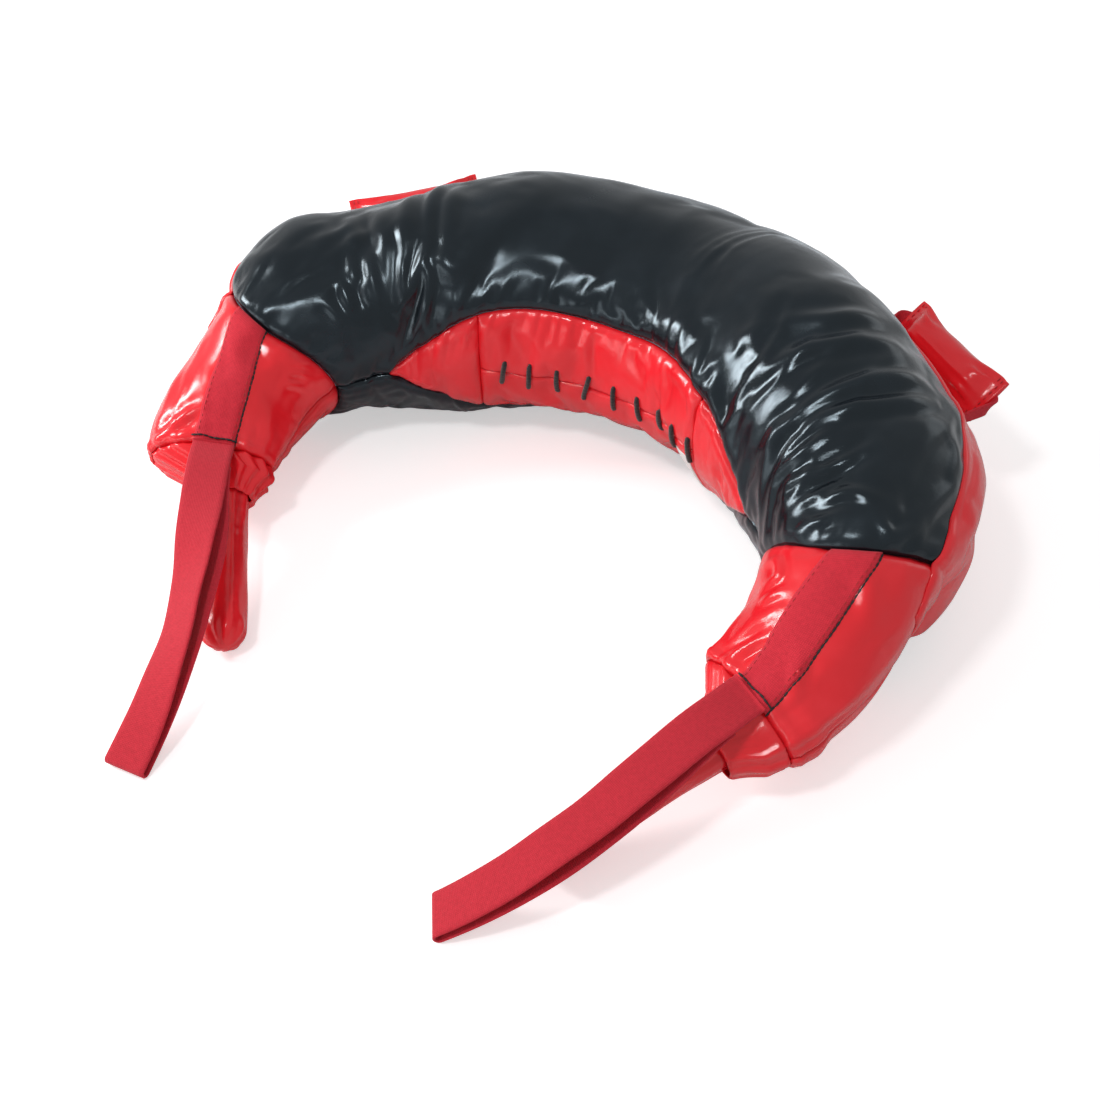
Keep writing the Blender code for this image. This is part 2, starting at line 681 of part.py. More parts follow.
def turned(name, pivot, axis, outline, material):
    # A closed solid turned about an axis through its pivot: the outline runs from one rim or pole to the
    # next, radius 0 is a pole, and an outline that starts away from the axis closes on itself
    turn = axis.to_track_quat("Z", "Y").to_matrix()
    build = bmesh.new()
    rings = []
    for along, radius in outline:
        if radius == 0:
            rings.append([build.verts.new(pivot.location + axis * along)])
            continue
        ring = []
        for k in range(ROUND_SIDES):
            angle = 2 * math.pi * k / ROUND_SIDES
            spot = Vector((radius * math.cos(angle), radius * math.sin(angle), along))
            ring.append(build.verts.new(pivot.location + turn @ spot))
        rings.append(ring)
    pairs = list(zip(rings, rings[1:]))
    if outline[0][1] > 0:
        pairs.append((rings[-1], rings[0]))
    for first, second in pairs:
        if len(first) > 1 and len(second) > 1:
            bridge(build, first, second, ring=True)
        elif len(first) > 1 or len(second) > 1:
            ring, pole = (first, second[0]) if len(first) > 1 else (second, first[0])
            for k in range(ROUND_SIDES):
                build.faces.new((ring[k], ring[(k + 1) % ROUND_SIDES], pole))
    return close_mesh(name, build, material, pivot)


def grip_profile(inset):
    # Outline of the grip from its ball root to its round tip, inset from the outer surface
    root = GRIP_ROOT_RADIUS - inset
    tip = GRIP_RADIUS - inset
    waist = GRIP_WAIST_RADIUS - inset
    straight = GRIP_LENGTH - GRIP_RADIUS
    hole = math.asin(GRIP_ROOT_HOLE / root)
    ball = spread(math.pi - hole, math.radians(GRIP_BALL_DEG), BALL_STEPS)
    outline = [(root * math.cos(angle), root * math.sin(angle)) for angle in ball]
    outline += [(GRIP_LENGTH * GRIP_WAIST_SHARE, waist), (GRIP_LENGTH * GRIP_SWELL_SHARE, (tip + waist) / 2)]
    dome = spread(0.0, math.pi / 2, TIP_STEPS)[:-1]
    outline += [(straight + tip * math.sin(angle), tip * math.cos(angle)) for angle in dome]
    return outline + [(straight + tip, 0.0)]


def make_grip(side, turn, red, foam):
    centre, forward, inward, upward = body_frame(turn * OPENING_SHARE)
    heading = math.radians(GRIP_HEADING_DEG[side])
    drop = GRIP_TIP_HEIGHT - centre.z
    reach = GRIP_LENGTH - GRIP_RADIUS
    plan = math.sqrt(max(reach**2 - drop**2, 0.0))
    axis = Vector((plan * math.sin(heading), -plan * math.cos(heading), drop)).normalized()
    pivot = add_pivot(f"grip_{side}_pivot", centre)
    outline = grip_profile(0.0) + list(reversed(grip_profile(VINYL)))
    turned(f"grip_cover_{side}", pivot, axis, outline, red)
    core = grip_profile(VINYL + TOUCH_GAP)
    turned(f"grip_core_{side}", pivot, axis, [(core[0][0], 0.0)] + core, foam)


def handle_frame(side, turn):
    # Two tab roots on the band, the line between them and the way out from the wall
    depth = -PATCH_TOP - HANDLE_ROOT_GAP
    first = turn * HANDLE_START_SHARE[side]
    start = skin_point(first, HANDLE_DEG, depth)
    span = HANDLE_LENGTH + 2 * HANDLE_LEG_REACH
    low, high = first, turn * SEAM_SHARE
    for step in range(SEARCH_STEPS):
        middle = (low + high) / 2
        if (skin_point(middle, HANDLE_DEG, depth) - start).length < span:
            low = middle
        else:
            high = middle
    end = skin_point(low, HANDLE_DEG, depth)
    along = (end - start).normalized()
    centre, forward, inward, upward = body_frame((first + low) / 2)
    angle = math.radians(HANDLE_DEG)
    out = upward * math.cos(angle) + inward * math.sin(angle)
    out = (out - along * out.dot(along)).normalized()
    return first, low, start, end, along, out


def oval_loft(name, rings, pivot, centre, along, out, material):
    # A tube of oval rings along the handle; each ring has an outer and an inner oval
    across = along.cross(out)
    build = bmesh.new()
    skins = ([], [])
    for place, outer, inner in rings:
        for skin, (wide, tall) in zip(skins, (outer, inner)):
            ring = []
            for k in range(HANDLE_SIDES):
                angle = 2 * math.pi * k / HANDLE_SIDES
                spot = across * (wide * math.cos(angle)) + out * (tall * math.sin(angle))
                ring.append(build.verts.new(centre + along * place + spot))
            skin.append(ring)
    for skin in skins:
        for first, second in zip(skin, skin[1:]):
            bridge(build, first, second, ring=True)
    for end in (0, -1):
        bridge(build, skins[0][end], skins[1][end], ring=True)
    return close_mesh(name, build, material, pivot)


def make_handle(side, turn, red, foam, webbing):
    first, last, start, end, along, out = handle_frame(side, turn)
    middle = (start + end) / 2
    pivot = add_pivot(f"handle_{side}_pivot", middle)
    centre = middle + out * HANDLE_STANDOFF
    half = HANDLE_LENGTH / 2
    flat = HANDLE_END_HALF_WIDTH
    cover = []
    core = []
    bore = (HANDLE_WEB_WIDTH / 2 + HANDLE_BORE_SIDE, WEBBING / 2 + FILL_GAP)
    wall = VINYL + TOUCH_GAP
    for share, pinch in HANDLE_RING_SHARES:
        wide = HANDLE_RADIUS + (flat - HANDLE_RADIUS) * pinch
        tall = HANDLE_RADIUS + (HANDLE_END_HALF_HEIGHT - HANDLE_RADIUS) * pinch
        cover.append((share * half, (wide, tall), (wide - VINYL, tall - VINYL)))
        core.append((share * (half - VINYL), (wide - wall, tall - wall), bore))
    oval_loft(f"handle_cover_{side}", cover, pivot, centre, along, out, red)
    oval_loft(f"handle_core_{side}", core, pivot, centre, along, out, foam)

    across = along.cross(out)
    leg = half + HANDLE_LEG_REACH
    bend = HANDLE_LEG_REACH * HANDLE_BEND_SHARE
    turn_in = bend * HANDLE_TURN_SHARE
    narrow = HANDLE_WEB_WIDTH * HANDLE_TAPER_SHARE
    half_leg = [
        (leg, -HANDLE_STANDOFF, HANDLE_ROOT_WIDTH), (leg, -HANDLE_STANDOFF * HANDLE_TAPER_SHARE, narrow),
        (leg, -bend, HANDLE_WEB_WIDTH), (leg - turn_in, -turn_in, HANDLE_WEB_WIDTH),
        (leg - bend, 0.0, HANDLE_WEB_WIDTH)]
    stops = [(-a, b, width) for a, b, width in half_leg] + half_leg[::-1]
    spots = [centre + along * a + out * b for a, b, width in stops]
    build = bmesh.new()
    rows = []
    for k, spot in enumerate(spots):
        ahead = (spots[min(k + 1, len(spots) - 1)] - spots[max(k - 1, 0)]).normalized()
        thin = across.cross(ahead).normalized() * (WEBBING / 2)
        wide = across * (stops[k][2] / 2)
        corners = (spot - wide - thin, spot + wide - thin, spot + wide + thin, spot - wide + thin)
        rows.append([build.verts.new(corner) for corner in corners])
    for a, b in zip(rows, rows[1:]):
        bridge(build, a, b, ring=True)
    build.faces.new(rows[0])
    build.faces.new(rows[-1])
    close_mesh(f"handle_web_{side}", build, webbing, pivot)

    half_share = PATCH_SIZE / 2 / HALF_LENGTH
    half_deg = math.degrees(PATCH_SIZE / 2 / BELLY_RADIUS)
    for place, label in ((first, "front"), (last, "rear")):
        rows = [place - half_share, place, place + half_share]
        thick_sheet(f"handle_patch_{label}_{side}", rows, between(HANDLE_DEG - half_deg, HANDLE_DEG + half_deg),
                    PATCH_COLUMNS, steady(-PATCH_TOP), steady(VINYL - PATCH_TOP), red)


def main():
    clear_scene()
    red = make_material("red vinyl", (0.72, 0.02, 0.025), 0.25)
    black = make_material("black vinyl", (0.012, 0.014, 0.017), 0.22)
    webbing = make_material("red webbing", (0.50, 0.02, 0.04), 0.75)
    cord = make_material("black cord", (0.01, 0.01, 0.012), 0.6)
    lining = make_material("canvas lining", (0.30, 0.28, 0.24), 0.9)
    sand = make_material("sand pouch cloth", (0.42, 0.34, 0.22), 0.9)
    stuffing = make_material("textile stuffing", (0.55, 0.55, 0.55), 0.95)
    foam = make_material("grey foam", (0.20, 0.20, 0.21), 0.9)
    paper = make_material("white label", (0.85, 0.85, 0.85), 0.6)
    make_body(red, black, lining, sand, stuffing, cord, paper)
    for side, turn in SIDES.items():
        make_strap(side, turn, webbing)
        make_grip(side, turn, red, foam)
        make_handle(side, turn, red, foam, webbing)


main()
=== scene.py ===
# Training sandbag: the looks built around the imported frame. Metres, +Z up, the ends of the bag point to -Y
import math
import bmesh
import bpy
import numpy as np
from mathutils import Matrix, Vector


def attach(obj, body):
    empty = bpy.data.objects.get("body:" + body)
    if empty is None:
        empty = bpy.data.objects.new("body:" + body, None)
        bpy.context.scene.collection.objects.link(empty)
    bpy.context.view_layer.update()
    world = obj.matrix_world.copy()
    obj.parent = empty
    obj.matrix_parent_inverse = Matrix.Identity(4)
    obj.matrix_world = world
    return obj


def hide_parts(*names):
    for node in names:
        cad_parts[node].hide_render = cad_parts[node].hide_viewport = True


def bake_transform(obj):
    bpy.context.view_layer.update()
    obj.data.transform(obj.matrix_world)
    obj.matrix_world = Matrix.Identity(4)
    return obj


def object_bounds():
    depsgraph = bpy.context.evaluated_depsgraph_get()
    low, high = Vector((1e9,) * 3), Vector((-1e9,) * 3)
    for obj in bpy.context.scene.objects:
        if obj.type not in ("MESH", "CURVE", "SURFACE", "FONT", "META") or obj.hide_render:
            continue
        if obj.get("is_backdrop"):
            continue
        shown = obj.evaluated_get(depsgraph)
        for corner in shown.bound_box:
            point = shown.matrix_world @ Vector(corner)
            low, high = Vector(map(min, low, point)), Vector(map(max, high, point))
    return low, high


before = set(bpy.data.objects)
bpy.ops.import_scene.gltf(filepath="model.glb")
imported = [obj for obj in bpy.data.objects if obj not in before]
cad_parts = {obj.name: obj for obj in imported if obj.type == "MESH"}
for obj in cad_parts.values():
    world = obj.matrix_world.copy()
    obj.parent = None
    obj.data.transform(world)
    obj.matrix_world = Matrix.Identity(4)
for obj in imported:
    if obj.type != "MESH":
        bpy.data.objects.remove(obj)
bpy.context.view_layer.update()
print("frame loaded with", len(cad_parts), "nodes")

sides = {"left": -1, "right": 1}

# the body's form, as the frame has it
body = {
    "halfLength": 0.462, "middleTurn": 80.0, "endsTurn": 38.0,
    "middleRadius": 0.0967, "bellyRadius": 0.1023, "seamRadius": 0.0600,
    "neckHalfWidth": 0.0460, "neckHalfHeight": 0.0290, "seatRadius": 0.0204,
    "seamHeight": 0.0742, "neckHeight": 0.0470, "flatHalfDeg": 16.0,
    "stationShares": (0.0, 0.40, 0.79, 1.0), "openingShare": 1.03,
    "mouthEndShare": 0.345, "lensEndShare": 0.62, "seamShare": 0.765, "bandEndShare": 0.82,
    "bowLength": 0.0125, "bowPeakDeg": 20.0, "bowPower": 4,
    "innerDeg": 98.0, "endDeg": 109.0, "lensRise": 34.0, "lensDrop": 42.5, "lensPower": 2.7,
    "outerDeg": -90.0, "bandHalfDeg": 42.0, "bandTaper": 0.333, "bandDip": (0.27, 0.13, 11.0),
    "gripShift": {-1: 0.019, 1: -0.009}, "tableSteps": 440, "collarShare": 1.078, "collarPower": 1.45,
    "collarAxis": {-1: (0.62, -0.76, -0.19), 1: (-0.43, -0.88, -0.19)},
    "lift": 0.0026,
}


def through(stations, values, place):
    # smooth curve through the values: level at the first station, straight on at the last
    steps = [b - a for a, b in zip(stations, stations[1:])]
    rates = [(b - a) / step for a, b, step in zip(values, values[1:], steps)]
    slopes = [0.0] + [(a + b) / 2 for a, b in zip(rates, rates[1:])] + [rates[-1]]
    index = max(i for i in range(len(steps)) if i == 0 or place >= stations[i])
    step = steps[index]
    t = (place - stations[index]) / step
    start = (2 * t**3 - 3 * t**2 + 1) * values[index] + (t**3 - 2 * t**2 + t) * step * slopes[index]
    end = (3 * t**2 - 2 * t**3) * values[index + 1] + (t**3 - t**2) * step * slopes[index + 1]
    return start + end


def sectionTables():
    flat = math.cos(math.radians(body["flatHalfDeg"]))
    widths = (body["middleRadius"], body["bellyRadius"], body["seamRadius"], body["neckHalfWidth"])
    heights = widths[:3] + (body["neckHalfHeight"],)
    centres = (widths[0] * flat, widths[1] * flat, body["seamHeight"], body["neckHeight"])
    shares = np.linspace(0.0, 1.09, body["tableSteps"])
    table = {"share": shares, "heading": np.radians(body["middleTurn"] * np.minimum(shares, 1)
                                                    + body["endsTurn"] * np.minimum(shares, 1) ** 2)}
    mean = (table["heading"][1:] + table["heading"][:-1]) / 2
    step = np.diff(shares) * body["halfLength"]
    table["x"] = np.concatenate([[0], np.cumsum(step * np.cos(mean))])
    table["y"] = -np.concatenate([[0], np.cumsum(step * np.sin(mean))])
    for key, values in (("wide", widths), ("tall", heights), ("z", centres)):
        row = [through(body["stationShares"], values, min(s, 1.0)) for s in shares]
        last = (values[3] - values[2]) / (body["stationShares"][3] - body["stationShares"][2])
        if key == "z":
            row = [v + last * max(s - 1.0, 0) for v, s in zip(row, shares)]
        else:
            drawn = 1 - (1 - np.clip((shares - 1) / (body["collarShare"] - 1), 0, 1)) ** body["collarPower"]
            row = [v + (body["seatRadius"] - v) * part for v, part in zip(row, drawn)]
        table[key] = np.array(row)
    return table


sections = sectionTables()


def sectionAt(share, key):
    return np.interp(share, sections["share"], sections[key])


def ease(share):
    share = np.clip(share, 0.0, 1.0)
    return share * share * (3 - 2 * share)


def bodyFrame(place):
    # centre, forward, inward and upward directions at place, the share of the half length, negative on the left
    place = np.asarray(place, float)
    side = np.where(place < 0, -1.0, 1.0)
    share = np.abs(place)
    heading = sectionAt(share, "heading")
    centre = np.stack([side * sectionAt(share, "x"), sectionAt(share, "y"), sectionAt(share, "z")], -1)
    reach = 0.004
    rise = (sectionAt(share + reach, "z") - sectionAt(np.maximum(share - reach, 0), "z"))
    slope = rise / ((share + reach - np.maximum(share - reach, 0)) * body["halfLength"])
    forward = np.stack([side * np.cos(heading), -np.sin(heading), slope], -1)
    forward /= np.linalg.norm(forward, axis=-1, keepdims=True)
    inward = np.stack([-side * np.sin(heading), -np.cos(heading), 0 * heading], -1)
    shift = np.clip((share - 1.0) / (body["openingShare"] - 1.0), 0, 1)
    move = np.where(side < 0, body["gripShift"][-1], body["gripShift"][1]) * shift
    centre = centre + inward * move[..., None]
    # past the opening the fabric follows the grip
    past = np.clip(share - body["openingShare"], 0, None)[..., None] * body["halfLength"]
    axis = np.where(side[..., None] < 0, body["collarAxis"][-1], body["collarAxis"][1])
    straight = np.stack([side * np.cos(heading), -np.sin(heading), slope], -1)
    centre = centre + (axis - straight) * past
    forward = forward + axis * ease((share - 1.0) / (body["collarShare"] - 1.0))[..., None]
    forward /= np.linalg.norm(forward, axis=-1, keepdims=True)
    inward = inward - forward * np.sum(inward * forward, -1, keepdims=True)
    inward /= np.linalg.norm(inward, axis=-1, keepdims=True)
    upward = np.cross(inward, forward) * side[..., None]
    return centre, forward, inward, upward


def plainSkin(u, deg, lift=0.0):
    # the frame's own smooth skin, lift metres outside it
    share = np.abs(u)
    seam = body["seamShare"]
    weight = np.where(share < seam, (share / seam) ** body["bowPower"], np.clip((1 - share) / (1 - seam), 0, None))
    bow = body["bowLength"] / body["halfLength"] * weight * np.cos(2 * np.radians(deg - body["bowPeakDeg"]))
    place = np.where(u < 0, -1.0, 1.0) * (share + bow)
    centre, forward, inward, upward = bodyFrame(place)
    wide = sectionAt(np.abs(place), "wide") + lift
    tall = sectionAt(np.abs(place), "tall") + lift
    angle = np.radians(deg)
    return centre + upward * (tall * np.cos(angle))[..., None] + inward * (wide * np.sin(angle))[..., None]


def lens(u):
    return np.clip(1 - (np.abs(u) / body["lensEndShare"]) ** body["lensPower"], 0, None)


def lensTop(u):
    return body["innerDeg"] - body["lensRise"] * lens(u)


def lensBottom(u):
    return body["innerDeg"] + body["lensDrop"] * lens(u)


def endLine(u):
    part = (np.abs(u) - body["seamShare"]) / (1 - body["seamShare"])
    return body["innerDeg"] + (body["endDeg"] - body["innerDeg"]) * ease(part)


def noiseLine(x, seed):
    # smooth random curve from -1 to 1, one knot for each whole number
    knots = np.random.RandomState(seed).uniform(-1, 1, 4096)
    low = np.floor(x).astype(int)
    t = x - low
    t = t * t * (3 - 2 * t)
    return knots[low % 4096] * (1 - t) + knots[(low + 1) % 4096] * t


def noisePlane(x, y, seed):
    # smooth random surface from -1 to 1
    knots = np.random.RandomState(seed).uniform(-1, 1, (257, 257))
    i, j = np.floor(x).astype(int), np.floor(y).astype(int)
    s, t = x - i, y - j
    s, t = s * s * s * (s * (6 * s - 15) + 10), t * t * t * (t * (6 * t - 15) + 10)
    a = knots[i % 257, j % 257] * (1 - s) + knots[(i + 1) % 257, j % 257] * s
    b = knots[i % 257, (j + 1) % 257] * (1 - s) + knots[(i + 1) % 257, (j + 1) % 257] * s
    return a * (1 - t) + b * t


# meshes
def meshPiece(name, points, faces, material, uv=None):
    mesh = bpy.data.meshes.new(name)
    mesh.from_pydata([tuple(p) for p in points], [], faces)
    if uv is not None:
        layer = mesh.uv_layers.new(name="surface")
        loops = np.zeros(len(mesh.loops), int)
        mesh.loops.foreach_get("vertex_index", loops)
        layer.data.foreach_set("uv", np.asarray(uv, float)[loops].astype(np.float32).ravel())
    mesh.materials.append(material)
    mesh.validate()
    mesh.shade_smooth()
    piece = bpy.data.objects.new(name, mesh)
    bpy.context.scene.collection.objects.link(piece)
    return piece


def gridFaces(rows, columns, ring=False, flip=False):
    faces = []
    for i in range(rows - 1):
        for j in range(columns if ring else columns - 1):
            n = (j + 1) % columns
            quad = (i * columns + j, i * columns + n, (i + 1) * columns + n, (i + 1) * columns + j)
            faces.append(quad[::-1] if flip else quad)
    return faces


def closeEnds(points, uv, faces, count, pushes=(0.0, 0.0)):
    # a fan of faces from the middle of each open end, which is pushed out a little
    last = len(points) // count - 1
    for row, push in zip((0, last), pushes):
        ring = [row * count + k for k in range(count)]
        points = np.vstack([points, points[ring].mean(0) + push])
        if uv is not None:
            uv = np.vstack([uv, uv[ring].mean(0)])
        faces += [(ring[k], ring[(k + 1) % count], len(points) - 1) for k in range(count)]
    return points, uv


def fixNormals(piece):
    build = bmesh.new()
    build.from_mesh(piece.data)
    bmesh.ops.remove_doubles(build, verts=build.verts, dist=1e-6)
    bmesh.ops.recalc_face_normals(build, faces=build.faces)
    build.to_mesh(piece.data)
    build.free()


def solidify(piece, thickness):
    # a real wall inside the visible face
    wall = piece.modifiers.new("wall", "SOLIDIFY")
    wall.thickness = thickness
    wall.offset = -1
    wall.use_even_offset = False
    wall.use_quality_normals = True


def applyModifiers(piece):
    graph = bpy.context.evaluated_depsgraph_get()
    mesh = bpy.data.meshes.new_from_object(piece.evaluated_get(graph))
    piece.modifiers.clear()
    piece.data = mesh
    return piece


# the filled shell: dents, seams, puckers and folds
shell = {
    "alongCount": 561, "aroundCount": 300, "endShare": 1.078,
    "seamDepth": 0.0026, "seamWidth": 0.0050,
    "puckerHeight": 0.0013, "puckerReach": 0.020, "puckerPitch": 0.0085,
    "crossPuckerHeight": 0.0010, "crossPuckerReach": 0.022,
    "lumpHeight": 0.0030, "lumpPitch": 0.065, "lumpSeed": 5,
    "gatherHeight": 0.0014, "gatherPitchDeg": 19.0, "gatherStart": 0.80,
    "hemShare": 0.990, "hemHeight": 0.0010, "hemWidth": 0.0026, "ruffleHeight": 0.0010, "rufflePitchDeg": 24.0,
    "floorGap": 0.0002,
}

# how the filled body stands in or out of the plain form: share of the half length, degrees round it, height
outlines = [
    {"reachDeg": 42.0, "points": [
        (-0.96, -70, 0.0), (-0.90, -60, -0.0033), (-0.866, -56, -0.0070), (-0.83, -50, -0.0072), (-0.80, -47, -0.0052),
        (-0.768, -44, -0.0018), (-0.738, -41, 0.0021), (-0.705, -39, 0.0058), (-0.675, -36, 0.0085), (-0.648, -35, 0.0084),
        (-0.622, -34, 0.0065), (-0.598, -32, 0.0), (-0.572, -36, -0.0098), (-0.528, -38, -0.0180), (-0.485, -38, -0.0245),
        (-0.445, -38, -0.0280), (-0.39, -37, -0.0285), (-0.33, -36, -0.0185), (-0.287, -34, -0.0110), (-0.232, -31, -0.0065),
        (-0.163, -30, -0.0036), (-0.10, -31, -0.0016), (-0.03, -32, 0.0006), (0.02, -30, 0.0008), (0.06, -30, -0.0012),
        (0.20, -40, -0.0040), (0.24, -46, -0.0070), (0.273, -50, -0.0130), (0.307, -54, -0.0195), (0.345, -58, -0.0215),
        (0.39, -58, -0.0220), (0.45, -60, -0.0215), (0.50, -65, -0.0185), (0.54, -70, -0.0095), (0.60, -78, -0.0042),
        (0.69, -82, -0.0050), (0.72, -95, -0.0095), (0.75, -102, -0.0180), (0.79, -104, -0.0187), (0.836, -106, -0.0121),
        (0.90, -106, -0.0062), (0.96, -106, -0.0030)]},
    {"reachDeg": 26.0, "points": [
        (-0.38, 150, 0.0), (-0.27, 150, -0.0060), (-0.20, 149, -0.0100), (-0.10, 147, -0.0115), (0.0, 144, -0.0085),
        (0.10, 140, -0.0074), (0.22, 132, -0.0088), (0.30, 128, -0.0040), (0.40, 126, 0.0)]},
    {"reachDeg": 30.0, "points": [
        (-1.0, 124, 0.0030), (-0.96, 124, 0.0058), (-0.93, 124, 0.0070), (-0.90, 124, 0.0064), (-0.84, 124, 0.0045),
        (-0.79, 124, 0.0)]},
]


# wrinkle patches: where, the turn of the folds from the bag's length, reach along and across, fold pitch, height, seed
wrinkles = [
    {"at": (-0.43, 4), "turn": 80, "reach": (0.055, 0.050), "pitch": 0.024, "height": 0.0016, "seed": 11},
    {"at": (0.50, 30), "turn": 62, "reach": (0.060, 0.060), "pitch": 0.026, "height": 0.0012, "seed": 13},
    {"at": (0.64, 50), "turn": 40, "reach": (0.045, 0.040), "pitch": 0.013, "height": 0.0012, "seed": 14},
    {"at": (0.42, -30), "turn": 70, "reach": (0.070, 0.050), "pitch": 0.030, "height": 0.0018, "seed": 15},
    {"at": (-0.70, -30), "turn": 70, "reach": (0.060, 0.050), "pitch": 0.026, "height": 0.0014, "seed": 16},
    {"at": (0.20, 80), "turn": 75, "reach": (0.180, 0.020), "pitch": 0.010, "height": 0.0007, "seed": 17},
]

# single folds: the places they run through, height, half width; a fold stands up between two soft valleys
folds = [
    {"line": [(-0.585, 24), (-0.597, 43)], "height": 0.0022, "width": 0.0036},
    {"line": [(-0.560, 30), (-0.566, 40), (-0.582, 60)], "height": 0.0030, "width": 0.0042},
    {"line": [(-0.586, 42), (-0.596, 56)], "height": 0.0018, "width": 0.0028},
    {"line": [(-0.620, 36), (-0.635, 54)], "height": 0.0020, "width": 0.0034},
    {"line": [(-0.668, 38), (-0.662, 55)], "height": 0.0016, "width": 0.0034},
    {"line": [(-0.492, 38), (-0.505, 48), (-0.528, 64)], "height": 0.0024, "width": 0.0036},
    {"line": [(-0.452, 40), (-0.480, 50), (-0.510, 62)], "height": 0.0022, "width": 0.0034},
    {"line": [(-0.452, 40), (-0.455, 57), (-0.485, 68), (-0.525, 80)], "height": 0.0026, "width": 0.0036},
    {"line": [(-0.530, -6), (-0.538, 12), (-0.548, 38)], "height": -0.0030, "width": 0.0060},
    {"line": [(-0.425, -8), (-0.440, 15), (-0.456, 44)], "height": -0.0034, "width": 0.0060},
    {"line": [(-0.385, -6), (-0.410, 15), (-0.428, 48)], "height": -0.0026, "width": 0.0050},
    {"line": [(-0.340, 52), (-0.400, 50), (-0.440, 42)], "height": 0.0026, "width": 0.0075},
    {"line": [(-0.625, 8), (-0.555, 4)], "height": 0.0024, "width": 0.0070},
    {"line": [(-0.625, 19), (-0.530, 16)], "height": 0.0020, "width": 0.0060},
    {"line": [(0.410, -14), (0.403, 10), (0.370, 30)], "height": 0.0026, "width": 0.0060},
    {"line": [(0.465, -14), (0.448, 15), (0.440, 30), (0.436, 48)], "height": 0.0030, "width": 0.0055},
    {"line": [(0.515, -24), (0.520, -1), (0.532, 22), (0.560, 48)], "height": 0.0034, "width": 0.0050},
    {"line": [(0.546, -28), (0.562, 1), (0.563, 21), (0.580, 42)], "height": 0.0032, "width": 0.0044},
    {"line": [(0.550, 36), (0.558, 50), (0.590, 62)], "height": 0.0030, "width": 0.0050},
    {"line": [(0.645, 62), (0.620, 42), (0.595, 24)], "height": 0.0022, "width": 0.0032},
    {"line": [(0.668, 54), (0.655, 36), (0.645, 16)], "height": 0.0024, "width": 0.0034},
    {"line": [(0.690, 50), (0.660, 28), (0.620, 2)], "height": 0.0022, "width": 0.0032},
    {"line": [(0.705, 44), (0.680, 28), (0.666, 16)], "height": 0.0020, "width": 0.0030},
    {"line": [(0.700, 38), (0.688, 15), (0.700, -6)], "height": 0.0024, "width": 0.0042},
    {"line": [(0.735, -10), (0.742, -19), (0.728, -30)], "height": 0.0018, "width": 0.0030},
    {"line": [(0.715, -6), (0.752, -17), (0.745, -26)], "height": 0.0016, "width": 0.0028},
    {"line": [(0.736, 34), (0.725, 16)], "height": 0.0016, "width": 0.0028},
    {"line": [(0.770, 40), (0.762, 14)], "height": 0.0016, "width": 0.0030},
    {"line": [(0.985, 36), (0.950, 26), (0.915, 16)], "height": 0.0026, "width": 0.0032},
    {"line": [(0.810, 64), (0.798, 46), (0.825, 36), (0.858, 50)], "height": 0.0018, "width": 0.0030},
    {"line": [(0.880, 44), (0.840, 23)], "height": 0.0016, "width": 0.0030},
    {"line": [(0.915, -12), (0.965, -30)], "height": 0.0022, "width": 0.0034},
    {"line": [(0.790, -16), (0.855, -30)], "height": 0.0020, "width": 0.0060},
    {"line": [(-0.995, -50), (-0.970, -24), (-0.935, 0)], "height": 0.0028, "width": 0.0034},
    {"line": [(-0.798, 52), (-0.778, 70)], "height": 0.0016, "width": 0.0024},
    {"line": [(-0.815, 57), (-0.795, 72)], "height": 0.0016, "width": 0.0024},
    {"line": [(-0.836, 60), (-0.823, 76)], "height": 0.0014, "width": 0.0024},
]


# the cloth simulation: grid steps, fabric cut this much too large, and the most that a point may move
cloth = {"alongStep": 3, "aroundStep": 2, "frames": 20, "pressure": 1.6, "extra": 0.035, "stiffness": 15.0,
         "bending": 0.4, "cap": 0.0030, "share": 0.85, "seamReach": 0.0040,
         "calmEnds": 0.50, "calmTop": 0.45}


